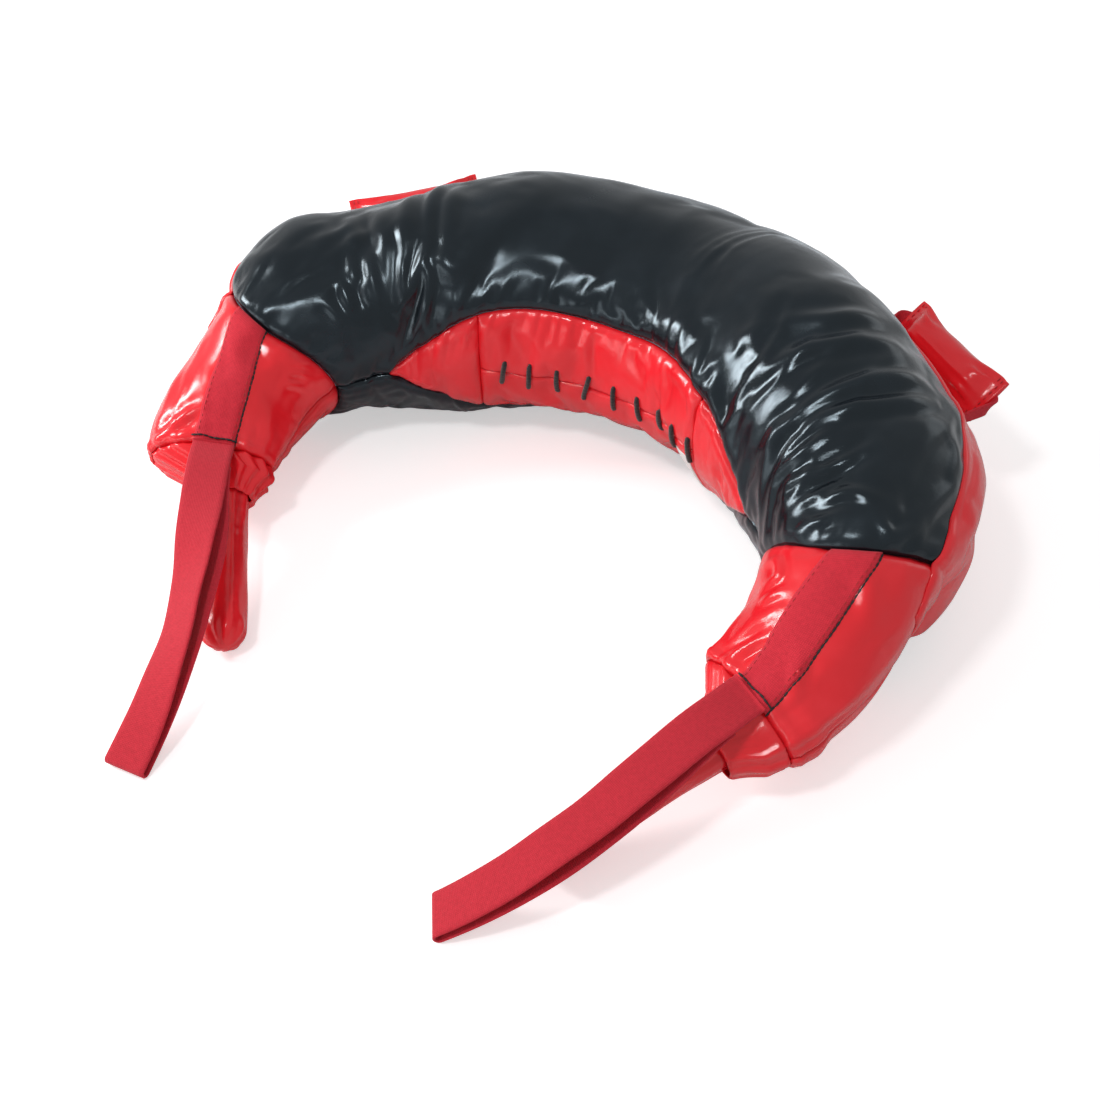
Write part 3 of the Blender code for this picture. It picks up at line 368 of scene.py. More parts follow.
def swell(base, normal, held):
    # the filled fabric swells and buckles between its seams; gives how far each point stands out
    rise = np.zeros(base.shape[:2])
    points = base[::cloth["alongStep"], ::cloth["aroundStep"]]
    outward = normal[::cloth["alongStep"], ::cloth["aroundStep"]]
    rows, columns = points.shape[:2]
    turned = np.cross(points[1, 0] - points[0, 0], points[0, 1] - points[0, 0]) @ outward[0, 0] > 0
    mesh = bpy.data.meshes.new("clothTrial")
    mesh.from_pydata(points.reshape(-1, 3).tolist(), [], gridFaces(rows, columns, ring=True, flip=turned))
    trial = bpy.data.objects.new("clothTrial", mesh)
    scene = bpy.context.scene
    scene.collection.objects.link(trial)
    group = trial.vertex_groups.new(name="held")
    pinned = held[::cloth["alongStep"], ::cloth["aroundStep"]]
    group.add([int(k) for k in np.nonzero(pinned.reshape(-1))[0]], 1.0, "REPLACE")
    modifier = trial.modifiers.new("swell", "CLOTH")
    settings = modifier.settings
    settings.quality = 5
    settings.mass = 0.3
    settings.tension_stiffness = settings.compression_stiffness = cloth["stiffness"]
    settings.shear_stiffness = 5.0
    settings.bending_stiffness = cloth["bending"]
    settings.use_pressure = True
    settings.uniform_pressure_force = cloth["pressure"]
    settings.shrink_min = -cloth["extra"]
    settings.vertex_group_mass = "held"
    settings.effector_weights.gravity = 0.0
    modifier.collision_settings.use_collision = False
    modifier.point_cache.frame_start, modifier.point_cache.frame_end = 1, cloth["frames"]
    for number in range(1, cloth["frames"] + 1):
        scene.frame_set(number)
    swollen = trial.evaluated_get(bpy.context.evaluated_depsgraph_get()).data
    moved = np.zeros(len(swollen.vertices) * 3)
    swollen.vertices.foreach_get("co", moved)
    scene.frame_set(1)
    bpy.data.objects.remove(trial)
    bpy.data.meshes.remove(mesh)
    out = np.sum((moved.reshape(points.shape) - points) * outward, -1)
    mean, most = float(out.mean()) * 1000, float(np.abs(out).max()) * 1000
    print("cloth swelled by", round(mean, 2), "mm on average, at most", round(most, 2))
    broad = out.copy()
    for step in range(60):
        broad = (np.roll(broad, 1, 1) + 2 * broad + np.roll(broad, -1, 1)) / 4
        broad[1:-1] = (broad[:-2] + 2 * broad[1:-1] + broad[2:]) / 4
    out = cloth["share"] * np.clip(out - broad, -cloth["cap"], cloth["cap"])
    # back to the fine grid
    coarseRows = np.arange(rows) * cloth["alongStep"]
    fine = np.stack([np.interp(np.arange(base.shape[0]), coarseRows, out[:, k]) for k in range(columns)], -1)
    wrapped = np.concatenate([fine, fine[:, :1]], 1)
    places = np.arange(columns + 1) * cloth["aroundStep"]
    for row in range(base.shape[0]):
        rise[row] = np.interp(np.arange(base.shape[1]), places, wrapped[row])
    for step in range(2):
        rise = (np.roll(rise, 1, 1) + 2 * rise + np.roll(rise, -1, 1)) / 4
        rise[1:-1] = (rise[:-2] + 2 * rise[1:-1] + rise[2:]) / 4
    return rise


def makeShell():
    u = np.linspace(-shell["endShare"], shell["endShare"], shell["alongCount"])
    deg = np.arange(shell["aroundCount"]) * 360.0 / shell["aroundCount"] - 90.0
    uGrid, degGrid = np.meshgrid(u, deg, indexing="ij")
    base = plainSkin(uGrid, degGrid)
    alongStep = np.gradient(base, u, axis=0)
    aroundStep = (np.roll(base, -1, 1) - np.roll(base, 1, 1)) / (2 * (deg[1] - deg[0]))
    alongScale = np.linalg.norm(alongStep, axis=-1)
    aroundScale = np.linalg.norm(aroundStep, axis=-1)
    normal = np.cross(alongStep, aroundStep)
    normal /= np.linalg.norm(normal, axis=-1, keepdims=True)
    centre = bodyFrame(uGrid)[0]
    turn = np.sign(np.sum(normal * (base - centre), -1, keepdims=True))
    normal *= turn
    share = np.abs(uGrid)
    wrapped = (degGrid + 90) % 360 - 90
    relief = np.zeros_like(uGrid)

    def apart(seamDeg):
        # metres from a seam that runs along the bag
        slant = np.gradient(seamDeg, u, axis=0) * aroundScale / alongScale
        return (wrapped - seamDeg) * aroundScale / np.sqrt(1 + slant**2)

    def alongSeam(away, where, seed, low=1.0):
        # the seam's own valley, and the puckers that its thread draws in
        valley = -shell["seamDepth"] * np.exp(-(away / shell["seamWidth"]) ** 2)
        s = uGrid * alongScale / shell["puckerPitch"]
        ripple = noiseLine(s, seed) + 0.6 * noiseLine(s * 1.9 + 7, seed + 1)
        strength = 0.35 + 0.65 * np.abs(noiseLine(s / 6, seed + 2))
        fade = np.exp(-(np.abs(away) / shell["puckerReach"]) ** 1.3)
        return where * low * (valley + shell["puckerHeight"] * ripple * strength * fade)

    inLens = ease((body["lensEndShare"] - share) / 0.03)
    relief += alongSeam(apart(lensTop(uGrid)), inLens, 21)
    relief += alongSeam(apart(lensBottom(uGrid)), inLens, 24)
    beyond = ease((share - body["lensEndShare"] + 0.02) / 0.03) * (share < body["seamShare"] + 0.01)
    relief += alongSeam(apart(np.full_like(uGrid, body["innerDeg"])), beyond, 27, 0.8)
    inEnds = ease((share - body["seamShare"]) / 0.02)
    relief += alongSeam(apart(endLine(uGrid)), inEnds, 31, 0.8)
    # end seams run round the bag
    away = (share - body["seamShare"]) * alongScale
    relief -= shell["seamDepth"] * np.exp(-(away / shell["seamWidth"]) ** 2)
    about = np.radians(degGrid) * 0.062 / shell["puckerPitch"] + np.where(uGrid < 0, 40, 90)
    ripple = noiseLine(about, 33) + 0.5 * noiseLine(about * 2.1, 34)
    strength = 0.3 + 0.7 * np.abs(noiseLine(about / 5, 35))
    fade = np.exp(-(np.abs(away) / shell["crossPuckerReach"]) ** 1.3)
    relief += shell["crossPuckerHeight"] * ripple * strength * fade
    # cross seams at the ends of the laced mouth
    away = (share - body["mouthEndShare"]) * alongScale
    inside = (wrapped > lensTop(uGrid)) & (wrapped < lensBottom(uGrid))
    edge = np.minimum(np.abs(apart(lensTop(uGrid))), np.abs(apart(lensBottom(uGrid))))
    relief -= 0.0016 * np.exp(-(away / 0.0035) ** 2) * inside * ease(edge / 0.006)
    # the fill's own lumps
    a = uGrid * body["halfLength"] / shell["lumpPitch"] + 40
    b = np.radians(wrapped + 90) * 0.09 / shell["lumpPitch"]
    wrapFade = ease(np.abs(((degGrid + 90 + 180) % 360) - 180) / 40)
    lumps = noisePlane(a, b, shell["lumpSeed"]) + 0.5 * noisePlane(a * 2.1, b * 2.1, shell["lumpSeed"] + 1)
    relief += shell["lumpHeight"] * lumps * wrapFade * 0.7
    # gathers towards the necks
    fold = degGrid / shell["gatherPitchDeg"]
    ridge = 1 - 2 * np.abs(noiseLine(fold + np.where(uGrid < 0, 0, 60), 41))
    ridge += 0.5 * noiseLine(fold * 2.3 + np.where(uGrid < 0, 9, 77), 42)
    grown = ease((share - shell["gatherStart"]) / (1.0 - shell["gatherStart"])) ** 1.5
    mouth = 0.4 + 0.6 * ease((body["collarShare"] - share) / 0.05)
    relief += shell["gatherHeight"] * ridge * grown * mouth
    # the hem round each neck, and the ruffles drawn in beyond it
    away = (share - shell["hemShare"]) * alongScale
    relief += shell["hemHeight"] * np.exp(-(away / shell["hemWidth"]) ** 4)
    drift = noiseLine(degGrid / 40 + np.where(uGrid < 0, 3, 30), 44)
    ruffle = np.cos(np.radians(degGrid) * 360 / shell["rufflePitchDeg"] + 2.2 * drift)
    relief += shell["ruffleHeight"] * ruffle * ease((share - shell["hemShare"] + 0.006) / 0.02) * mouth
    # patches of folds
    for patch in wrinkles:
        at = np.array(patch["at"], float)
        middle = plainSkin(at[:1], at[1:])[0]
        ahead = plainSkin(at[:1] + 0.005, at[1:])[0] - middle
        around = plainSkin(at[:1], at[1:] + 2)[0] - middle
        ahead /= np.linalg.norm(ahead)
        around /= np.linalg.norm(around)
        away = base - middle
        s, t = away @ ahead, away @ around
        depth = np.linalg.norm(away, axis=-1)
        turn = math.radians(patch["turn"])
        run, over = s * math.cos(turn) + t * math.sin(turn), -s * math.sin(turn) + t * math.cos(turn)
        window = np.exp(-(run / patch["reach"][0]) ** 2 - (over / patch["reach"][1]) ** 2) * (depth < 0.16)
        warp = 0.9 * noisePlane(run / 0.05 + 30, over / 0.05 + 30, patch["seed"] + 50)
        field = noisePlane(run / (patch["pitch"] * 3.5) + 60, over / patch["pitch"] + warp + 60, patch["seed"])
        field = 1 - 2.4 * np.abs(field)
        relief += patch["height"] * field * window
    for fold in folds:
        stops = np.array(fold["line"], float)
        places = np.linspace(0, len(stops) - 1, 6 * len(stops))
        line = plainSkin(*np.stack([np.interp(places, range(len(stops)), stops[:, k]) for k in (0, 1)]))
        for step in range(4):
            line[1:-1] = (line[:-2] + 2 * line[1:-1] + line[2:]) / 4
        best, place = np.full(uGrid.shape, 9.0), np.zeros(uGrid.shape)
        for k in range(len(line) - 1):
            run = line[k + 1] - line[k]
            q = np.clip(((base - line[k]) @ run) / (run @ run), 0, 1)
            gap = np.linalg.norm(base - (line[k] + q[..., None] * run), axis=-1)
            nearer = gap < best
            best = np.where(nearer, gap, best)
            place = np.where(nearer, (k + q) / (len(line) - 1), place)
        taper = np.sin(np.pi * np.clip(place, 0.03, 0.97)) ** 0.8
        width = fold["width"]
        valley = 0.45 * np.exp(-((best - 2.2 * width) / (1.1 * width)) ** 2)
        relief += fold["height"] * taper * (np.exp(-(best / width) ** 2) - valley)
    for outline in outlines:
        points = np.array(outline["points"], float)
        middleDeg = np.interp(uGrid, points[:, 0], points[:, 1])
        height = np.interp(uGrid, points[:, 0], points[:, 2], left=0.0, right=0.0)
        for step in range(6):
            height[1:-1] = (height[:-2] + 2 * height[1:-1] + height[2:]) / 4
        away = (degGrid - middleDeg + 180) % 360 - 180
        relief += height * np.exp(-(away / outline["reachDeg"]) ** 2)
    shaped = base + normal * relief[..., None]
    near = cloth["seamReach"]
    held = (share > 0.98) | (shaped[..., 2] < 0.002) | (np.abs((share - body["seamShare"]) * alongScale) < near)
    seams = ((lensTop(uGrid), inLens > 0.5), (lensBottom(uGrid), inLens > 0.5),
             (np.full_like(uGrid, body["innerDeg"]), inLens <= 0.5))
    for edge, where in seams:
        held |= (np.abs(apart(edge)) < near) & where
    onTop = ease((0.36 - share) / 0.1) * ease((50 - np.abs(wrapped)) / 25)
    calm = 1 - cloth["calmEnds"] * inEnds - cloth["calmTop"] * onTop
    shaped = shaped + normal * (swell(shaped, normal, held) * calm)[..., None]
    return u, deg, shaped


def gridNormals(points):
    along = np.gradient(points, axis=0)
    around = np.roll(points, -1, 1) - np.roll(points, 1, 1)
    normal = np.cross(along, around)
    normal /= np.linalg.norm(normal, axis=-1, keepdims=True) + 1e-12
    return normal


shellU, shellDeg, shellPoints = makeShell()
shellNormals = gridNormals(shellPoints)
centres = bodyFrame(shellU[:, None] + 0 * shellDeg[None, :])[0]
if np.mean(np.sum(shellNormals * (shellPoints - centres), -1)) < 0:
    shellNormals = -shellNormals
print("shell shaped with", shellPoints.shape[0] * shellPoints.shape[1], "points")


def sampleGrid(field, u, deg):
    # smooth reading of a grid over the shell at any place
    fu = (np.asarray(u, float) - shellU[0]) / (shellU[1] - shellU[0])
    fd = ((np.asarray(deg, float) - shellDeg[0]) % 360.0) / (shellDeg[1] - shellDeg[0])
    iu, jd = np.floor(fu).astype(int), np.floor(fd).astype(int)
    s, t = fu - iu, fd - jd

    def weights(t):
        return ((-t**3 + 2 * t**2 - t) / 2, (3 * t**3 - 5 * t**2 + 2) / 2,
                (-3 * t**3 + 4 * t**2 + t) / 2, (t**3 - t**2) / 2)

    total = 0
    for a, wa in enumerate(weights(s)):
        row = np.clip(iu + a - 1, 0, field.shape[0] - 1)
        for b, wb in enumerate(weights(t)):
            total = total + (wa * wb)[..., None] * field[row, (jd + b - 1) % field.shape[1]]
    return total


def onShell(u, deg, lift=0.0):
    # a place on the shaped shell, lift metres outside it and never under the floor
    u, deg = np.broadcast_arrays(np.asarray(u, float), np.asarray(deg, float))
    normal = sampleGrid(shellNormals, u, deg)
    normal /= np.linalg.norm(normal, axis=-1, keepdims=True)
    point = sampleGrid(shellPoints, u, deg) + normal * np.asarray(lift, float)[..., None]
    floor = shell["floorGap"] + np.maximum(-np.asarray(lift, float), 0.0)
    point[..., 2] = np.maximum(point[..., 2], floor)
    return point


def gapDeg(u, gap):
    return np.degrees(gap / sectionAt(np.minimum(np.abs(u), 1.0), "wide"))


panels = {
    "spacing": 0.0026, "edgeRoll": 0.0022, "edgeReach": 0.0038, "wall": 0.0012,
}


def shellPanel(name, low, high, first, last, material, lift=0.0, roll=None, wall=None, spacing=None):
    # one sewn panel of the shell between two seams: low and high give its edges in degrees at each u
    spacing = spacing or panels["spacing"]
    roll = panels["edgeRoll"] if roll is None else roll
    alongLength = abs(last - first) * body["halfLength"] * 1.15
    rows = max(int(alongLength / spacing), 4)
    u = np.linspace(first, last, rows + 1)
    lows, highs = low(u), high(u)
    widest = np.max(np.radians(highs - lows) * sectionAt(np.abs(u), "wide"))
    columns = max(int(widest / spacing), 4)
    t = np.linspace(0, 1, columns + 1)
    uGrid = np.repeat(u[:, None], columns + 1, 1)
    degGrid = lows[:, None] + (highs - lows)[:, None] * t[None, :]
    scale = np.radians(1.0) * sectionAt(np.minimum(np.abs(uGrid), 1.0), "wide")
    edge = np.minimum((degGrid - lows[:, None]) * scale, (highs[:, None] - degGrid) * scale)
    ends = np.minimum(np.abs(uGrid - first), np.abs(uGrid - last)) * body["halfLength"]
    edge = np.minimum(edge, ends)
    drop = roll * np.clip(1 - edge / panels["edgeReach"], 0, 1) ** 2
    points = onShell(uGrid, degGrid, lift - drop)
    uv = np.stack([uGrid * body["halfLength"] * 1.1, np.radians(degGrid) * 0.09], -1)
    flip = np.sum(np.cross(points[1, 0] - points[0, 0], points[0, 1] - points[0, 0])
                  * sampleGrid(shellNormals, uGrid[0, :1], degGrid[0, :1])[0]) > 0
    faces = gridFaces(rows + 1, columns + 1, flip=not flip)
    piece = meshPiece(name, points.reshape(-1, 3), faces, material, uv.reshape(-1, 2))
    solidify(piece, wall or panels["wall"])
    return applyModifiers(piece)


# materials
def linear(r, g, b):
    return tuple(((c / 255 + 0.055) / 1.055) ** 2.4 if c > 10 else c / 255 / 12.92 for c in (r, g, b)) + (1.0,)


def newMaterial(name, colour, roughness):
    material = bpy.data.materials.new(name)
    material.use_nodes = True
    shader = material.node_tree.nodes["Principled BSDF"]
    shader.inputs["Base Color"].default_value = colour
    shader.inputs["Roughness"].default_value = roughness
    return material, material.node_tree.nodes, material.node_tree.links, shader


def makeVinylGroup():
    # fine leather print, tiny creases and handling marks of coated cloth
    group = bpy.data.node_groups.new("vinylSurface", "ShaderNodeTree")
    for name, value in (("Grain Scale", 1600.0), ("Crease Scale", 60.0), ("Mark Scale", 22.0), ("Base Roughness", 0.2)):
        socket = group.interface.new_socket(name, in_out="INPUT", socket_type="NodeSocketFloat")
        socket.default_value = value
    for name, kind in (("Height", "NodeSocketFloat"), ("Roughness", "NodeSocketFloat"), ("Mark", "NodeSocketFloat")):
        group.interface.new_socket(name, in_out="OUTPUT", socket_type=kind)
    nodes, links = group.nodes, group.links
    start, end = nodes.new("NodeGroupInput"), nodes.new("NodeGroupOutput")
    place = nodes.new("ShaderNodeTexCoord")
    grain = nodes.new("ShaderNodeTexVoronoi")
    grain.feature = "DISTANCE_TO_EDGE"
    crease = nodes.new("ShaderNodeTexNoise")
    crease.inputs["Detail"].default_value = 3.0
    mark = nodes.new("ShaderNodeTexNoise")
    mark.inputs["Detail"].default_value = 5.0
    for node, name in ((grain, "Grain Scale"), (crease, "Crease Scale"), (mark, "Mark Scale")):
        links.new(place.outputs["Object"], node.inputs["Vector"])
        links.new(start.outputs[name], node.inputs["Scale"])
    fine = mathNode(nodes, links, "MULTIPLY", grain.outputs["Distance"], 0.25)
    soft = mathNode(nodes, links, "MULTIPLY", crease.outputs["Fac"], 0.9)
    height = mathNode(nodes, links, "ADD", fine, soft)
    shade = nodes.new("ShaderNodeMapRange")
    shade.inputs["From Min"].default_value = 0.35
    shade.inputs["From Max"].default_value = 0.70
    shade.inputs["To Min"].default_value = -0.05
    shade.inputs["To Max"].default_value = 0.11
    links.new(mark.outputs["Fac"], shade.inputs["Value"])
    rough = mathNode(nodes, links, "ADD", start.outputs["Base Roughness"], shade.outputs["Result"])
    links.new(height, end.inputs["Height"])
    links.new(rough, end.inputs["Roughness"])
    links.new(mark.outputs["Fac"], end.inputs["Mark"])
    return group


def mathNode(nodes, links, operation, first, second=None, clamp=False):
    node = nodes.new("ShaderNodeMath")
    node.operation = operation
    node.use_clamp = clamp
    for socket, value in zip(node.inputs, (first, second)):
        if value is None:
            continue
        if isinstance(value, (int, float)):
            socket.default_value = value
        else:
            links.new(value, socket)
    return node.outputs[0]


def mixColour(nodes, links, factor, first, second):
    node = nodes.new("ShaderNodeMix")
    node.data_type = "RGBA"
    for socket, value in ((node.inputs[0], factor), (node.inputs[6], first), (node.inputs[7], second)):
        if isinstance(value, (int, float, tuple)):
            socket.default_value = value
        else:
            links.new(value, socket)
    return node.outputs[2]


vinylGroup = makeVinylGroup()


def vinyl(name, colour, pale, roughness, bump=0.25, specular=0.5, tint=(1, 1, 1, 1), haze=0.0):
    material, nodes, links, shader = newMaterial(name, colour, roughness)
    effect = nodes.new("ShaderNodeGroup")
    effect.node_tree = vinylGroup
    effect.inputs["Base Roughness"].default_value = roughness
    mark = nodes.new("ShaderNodeMapRange")
    mark.inputs["From Min"].default_value = 0.45
    mark.inputs["From Max"].default_value = 0.75
    links.new(effect.outputs["Mark"], mark.inputs["Value"])
    links.new(mixColour(nodes, links, mark.outputs["Result"], colour, pale), shader.inputs["Base Color"])
    links.new(effect.outputs["Roughness"], shader.inputs["Roughness"])
    raised = nodes.new("ShaderNodeBump")
    raised.inputs["Strength"].default_value = bump
    raised.inputs["Distance"].default_value = 0.0006
    links.new(effect.outputs["Height"], raised.inputs["Height"])
    links.new(raised.outputs["Normal"], shader.inputs["Normal"])
    shader.inputs["Specular Tint"].default_value = tint
    shader.inputs["Specular IOR Level"].default_value = specular
    shader.inputs["Sheen Weight"].default_value = haze
    shader.inputs["Sheen Roughness"].default_value = 0.24
    shader.inputs["Sheen Tint"].default_value = (0.72, 0.86, 1.0, 1)
    return material


def clothMaterial(name, colour, paintedShade, pitch, roughness=0.9, height=0.0004, sheen=0.3):
    # plain weave on the piece's own coordinates; the dark colour goes into its hollows, patchy by noise, as painted
    # shade
    material, nodes, links, shader = newMaterial(name, colour, roughness)
    place = nodes.new("ShaderNodeTexCoord")
    waves = []
    for direction in ("X", "Y"):
        wave = nodes.new("ShaderNodeTexWave")
        wave.bands_direction = direction
        wave.inputs["Scale"].default_value = 0.31416 / pitch
        wave.inputs["Distortion"].default_value = 0.6
        wave.inputs["Detail"].default_value = 1.0
        links.new(place.outputs["UV"], wave.inputs["Vector"])
        waves.append(wave.outputs["Fac"])
    weave = mathNode(nodes, links, "MULTIPLY", waves[0], waves[1])
    hollowShadeNoise = nodes.new("ShaderNodeTexNoise")
    hollowShadeNoise.inputs["Scale"].default_value = 420.0
    hollowShadeNoise.inputs["Detail"].default_value = 4.0
    links.new(place.outputs["Object"], hollowShadeNoise.inputs["Vector"])
    # painted shade: the dark colour where the weave sinks, patchy by noise
    hollowShade = mathNode(nodes, links, "MULTIPLY", mathNode(nodes, links, "SUBTRACT", 1.0, weave), hollowShadeNoise.outputs["Fac"], True)
    links.new(mixColour(nodes, links, hollowShade, colour, paintedShade), shader.inputs["Base Color"])
    raised = nodes.new("ShaderNodeBump")
    raised.inputs["Strength"].default_value = 0.6
    raised.inputs["Distance"].default_value = height
    links.new(weave, raised.inputs["Height"])
    links.new(raised.outputs["Normal"], shader.inputs["Normal"])
    shader.inputs["Sheen Weight"].default_value = sheen
    return material


def threadMaterial(name, colour, paintedShade):
    # twisted thread: fine slanting ridges on the piece's own coordinates; the dark colour in their low parts is painted
    # shade
    material, nodes, links, shader = newMaterial(name, colour, 0.55)
    place = nodes.new("ShaderNodeTexCoord")
    twist = nodes.new("ShaderNodeTexNoise")
    twist.inputs["Scale"].default_value = 2600.0
    links.new(place.outputs["Object"], twist.inputs["Vector"])
    # painted shade: the dark colour where the ridges are low
    links.new(mixColour(nodes, links, twist.outputs["Fac"], paintedShade, colour), shader.inputs["Base Color"])
    raised = nodes.new("ShaderNodeBump")
    raised.inputs["Strength"].default_value = 0.4
    raised.inputs["Distance"].default_value = 0.0001
    links.new(twist.outputs["Fac"], raised.inputs["Height"])
    links.new(raised.outputs["Normal"], shader.inputs["Normal"])
    return material


# for cloth and thread finishes the second colour is painted shade in their hollows; for vinyl it is the paler colour of
# handling marks
finishes = {
    "red": vinyl("red vinyl", linear(230, 32, 42), linear(238, 44, 54), 0.17),
    "black": vinyl("black vinyl", linear(13, 18, 23), linear(21, 27, 33), 0.18, specular=0.48,
                   tint=(0.74, 0.90, 1.0, 1), haze=0.38),
    "webbing": clothMaterial("red webbing", linear(212, 40, 58), linear(168, 18, 34), 0.0012, sheen=0.06),
    "sewnWebbing": clothMaterial("sewn red webbing", linear(222, 42, 60), linear(176, 20, 38), 0.0012, sheen=0.06),
    "lining": clothMaterial("canvas lining", linear(150, 144, 130), linear(110, 104, 92), 0.0016),
    "pouch": clothMaterial("pouch cloth", linear(170, 150, 118), linear(120, 104, 80), 0.0018),
    "cord": clothMaterial("black cord", linear(16, 16, 18), linear(6, 6, 7), 0.0010, 0.7),
    "label": clothMaterial("white label", linear(232, 232, 230), linear(205, 205, 204), 0.0005, 0.6, 0.00005, 0.1),
    "foam": clothMaterial("grey foam", linear(92, 92, 95), linear(60, 60, 63), 0.0030, 0.95),
    "stuffing": clothMaterial("textile stuffing", linear(190, 188, 182), linear(140, 138, 132), 0.0040, 1.0, 0.001),
    "threadRed": threadMaterial("red thread", linear(190, 18, 30), linear(140, 8, 16)),
    "threadBlack": threadMaterial("black thread", linear(20, 20, 22), linear(8, 8, 9)),
}
print("materials made")


# panels of the shell
def still(value):
    return lambda u: np.full(np.shape(u), float(value))


def inset(edge, gap):
    return lambda u: edge(u) + gapDeg(u, gap)


seamGap = 0.0004
whole = body["seamShare"] - seamGap / body["halfLength"]


def dress(piece, node, bodyName="bag"):
    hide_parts(*([node] if isinstance(node, str) else node))
    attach(piece, bodyName)


outer = still(body["outerDeg"])
around = still(body["outerDeg"] + 360)
inner = still(body["innerDeg"])
gapShare = seamGap / body["halfLength"]
mouthEnd = body["mouthEndShare"] - gapShare
flapRoll = 0.0011


def sewnPanel(name, node, low, high, first, last, finish, roll=None):
    # a panel of the shell between two seams, a little short of both
    piece = shellPanel(name, inset(low, seamGap), inset(high, -seamGap), first, last, finishes[finish], roll=roll)
    dress(piece, node)


sewnPanel("topPanel", "top_panel", outer, lensTop, -whole, whole, "black")
sewnPanel("bottomPanel", "bottom_panel", lensBottom, around, -whole, whole, "black")
sewnPanel("mouthFlapUpper", "mouth_flap_upper", lensTop, inner, -mouthEnd, mouthEnd, "red", flapRoll)
sewnPanel("mouthFlapLower", "mouth_flap_lower", inner, lensBottom, -mouthEnd, mouthEnd, "red", flapRoll)
for side, turn in sides.items():
    start, tip = turn * (body["mouthEndShare"] + gapShare), turn * (body["lensEndShare"] - 0.004)
    sewnPanel(f"innerGusset_{side}", f"inner_gusset_{side}", lensTop, lensBottom, start, tip, "red")
    start, tip = turn * (body["seamShare"] + gapShare), turn
    sewnPanel(f"endPanelUpper_{side}", f"end_panel_upper_{side}", outer, endLine, start, tip, "red")
    sewnPanel(f"endPanelLower_{side}", f"end_panel_lower_{side}", endLine, around, start, tip, "red")


neck = {
    "rows": 34, "turnStepDeg": 2.5, "roll": 0.0016, "rollReach": 0.003, "wall": 0.0010,
    "bendShares": (1.012, 1.070),
}


def makeCollar(name, turn):
    # the fabric gathered round the grip, its narrow end rolled in
    share = np.linspace(1.0 + gapShare, body["collarShare"] - 0.001, neck["rows"])
    deg = np.arange(0, 360, neck["turnStepDeg"])
    uGrid, degGrid = np.meshgrid(turn * share, deg, indexing="ij")
    ends = np.minimum(share - share[0], share[-1] - share) * body["halfLength"]
    drop = neck["roll"] * np.clip(1 - ends / neck["rollReach"], 0, 1) ** 2
    points = onShell(uGrid, degGrid, -drop[:, None] + 0 * uGrid)
    uv = np.stack([uGrid * body["halfLength"], np.radians(degGrid) * 0.03], -1).reshape(-1, 2)
    faces = gridFaces(len(share), len(deg), ring=True)
    piece = meshPiece(name, points.reshape(-1, 3), faces, finishes["red"], uv)
    outward = points[5, 0] - bodyFrame(uGrid[5, :1])[0][0]
    if piece.data.polygons[5 * len(deg)].normal.dot(Vector(outward)) < 0:
        piece.data.flip_normals()
    solidify(piece, neck["wall"])
    applyModifiers(piece)
    start, end = (bodyFrame(np.array([turn * share]))[0][0] for share in neck["bendShares"])
    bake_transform(piece)


for side, turn in sides.items():
    makeCollar(f"neckCollar_{side}", turn)


def bandHalf(u):
    part = ease((np.abs(u) - body["seamShare"]) / (body["bandEndShare"] - body["seamShare"]))
    return body["bandHalfDeg"] * (1 - part * body["bandTaper"])


def bandTop(u):
    # a little lower over the right handle, where the bag is drawn in: place, reach and degrees
    place, reach, dip = body["bandDip"]
    return body["outerDeg"] + bandHalf(u) - dip * np.exp(-((u - place) / reach) ** 2)


band = shellPanel("outerBand", lambda u: body["outerDeg"] - bandHalf(u), bandTop,
                  -body["bandEndShare"], body["bandEndShare"], finishes["red"], lift=body["lift"], roll=0.0020)
dress(band, "outer_band")
print("shell panels made")


# inside: lining, pouches and stuffing
def fillPiece(name, first, last, depth, material, wall=None, rounding=0.0):
    rows = max(int(abs(last - first) * body["halfLength"] / 0.007), 6)
    count = 72
    u = np.linspace(first, last, rows + 1)
    deg = np.arange(count) * 360.0 / count
    uGrid, degGrid = np.meshgrid(u, deg, indexing="ij")
    if rounding:
        away = np.minimum(np.abs(uGrid - first), np.abs(uGrid - last)) * body["halfLength"]
        t = np.clip(1 - away / rounding, 0, 1)
        depth = depth + rounding * (1 - np.sqrt(np.clip(1 - t**2, 0, 1)))
    points = onShell(uGrid, degGrid, -depth + 0 * uGrid)
    points = points.reshape(-1, 3)
    uv = np.stack([uGrid * body["halfLength"], np.radians(degGrid) * 0.09], -1).reshape(-1, 2)
    faces = gridFaces(rows + 1, count, ring=True)
    if rounding:
        points, uv = closeEnds(points, uv, faces, count)
    piece = meshPiece(name, points, faces, material, uv)
    fixNormals(piece)
    if wall:
        solidify(piece, wall)
        applyModifiers(piece)
    return piece


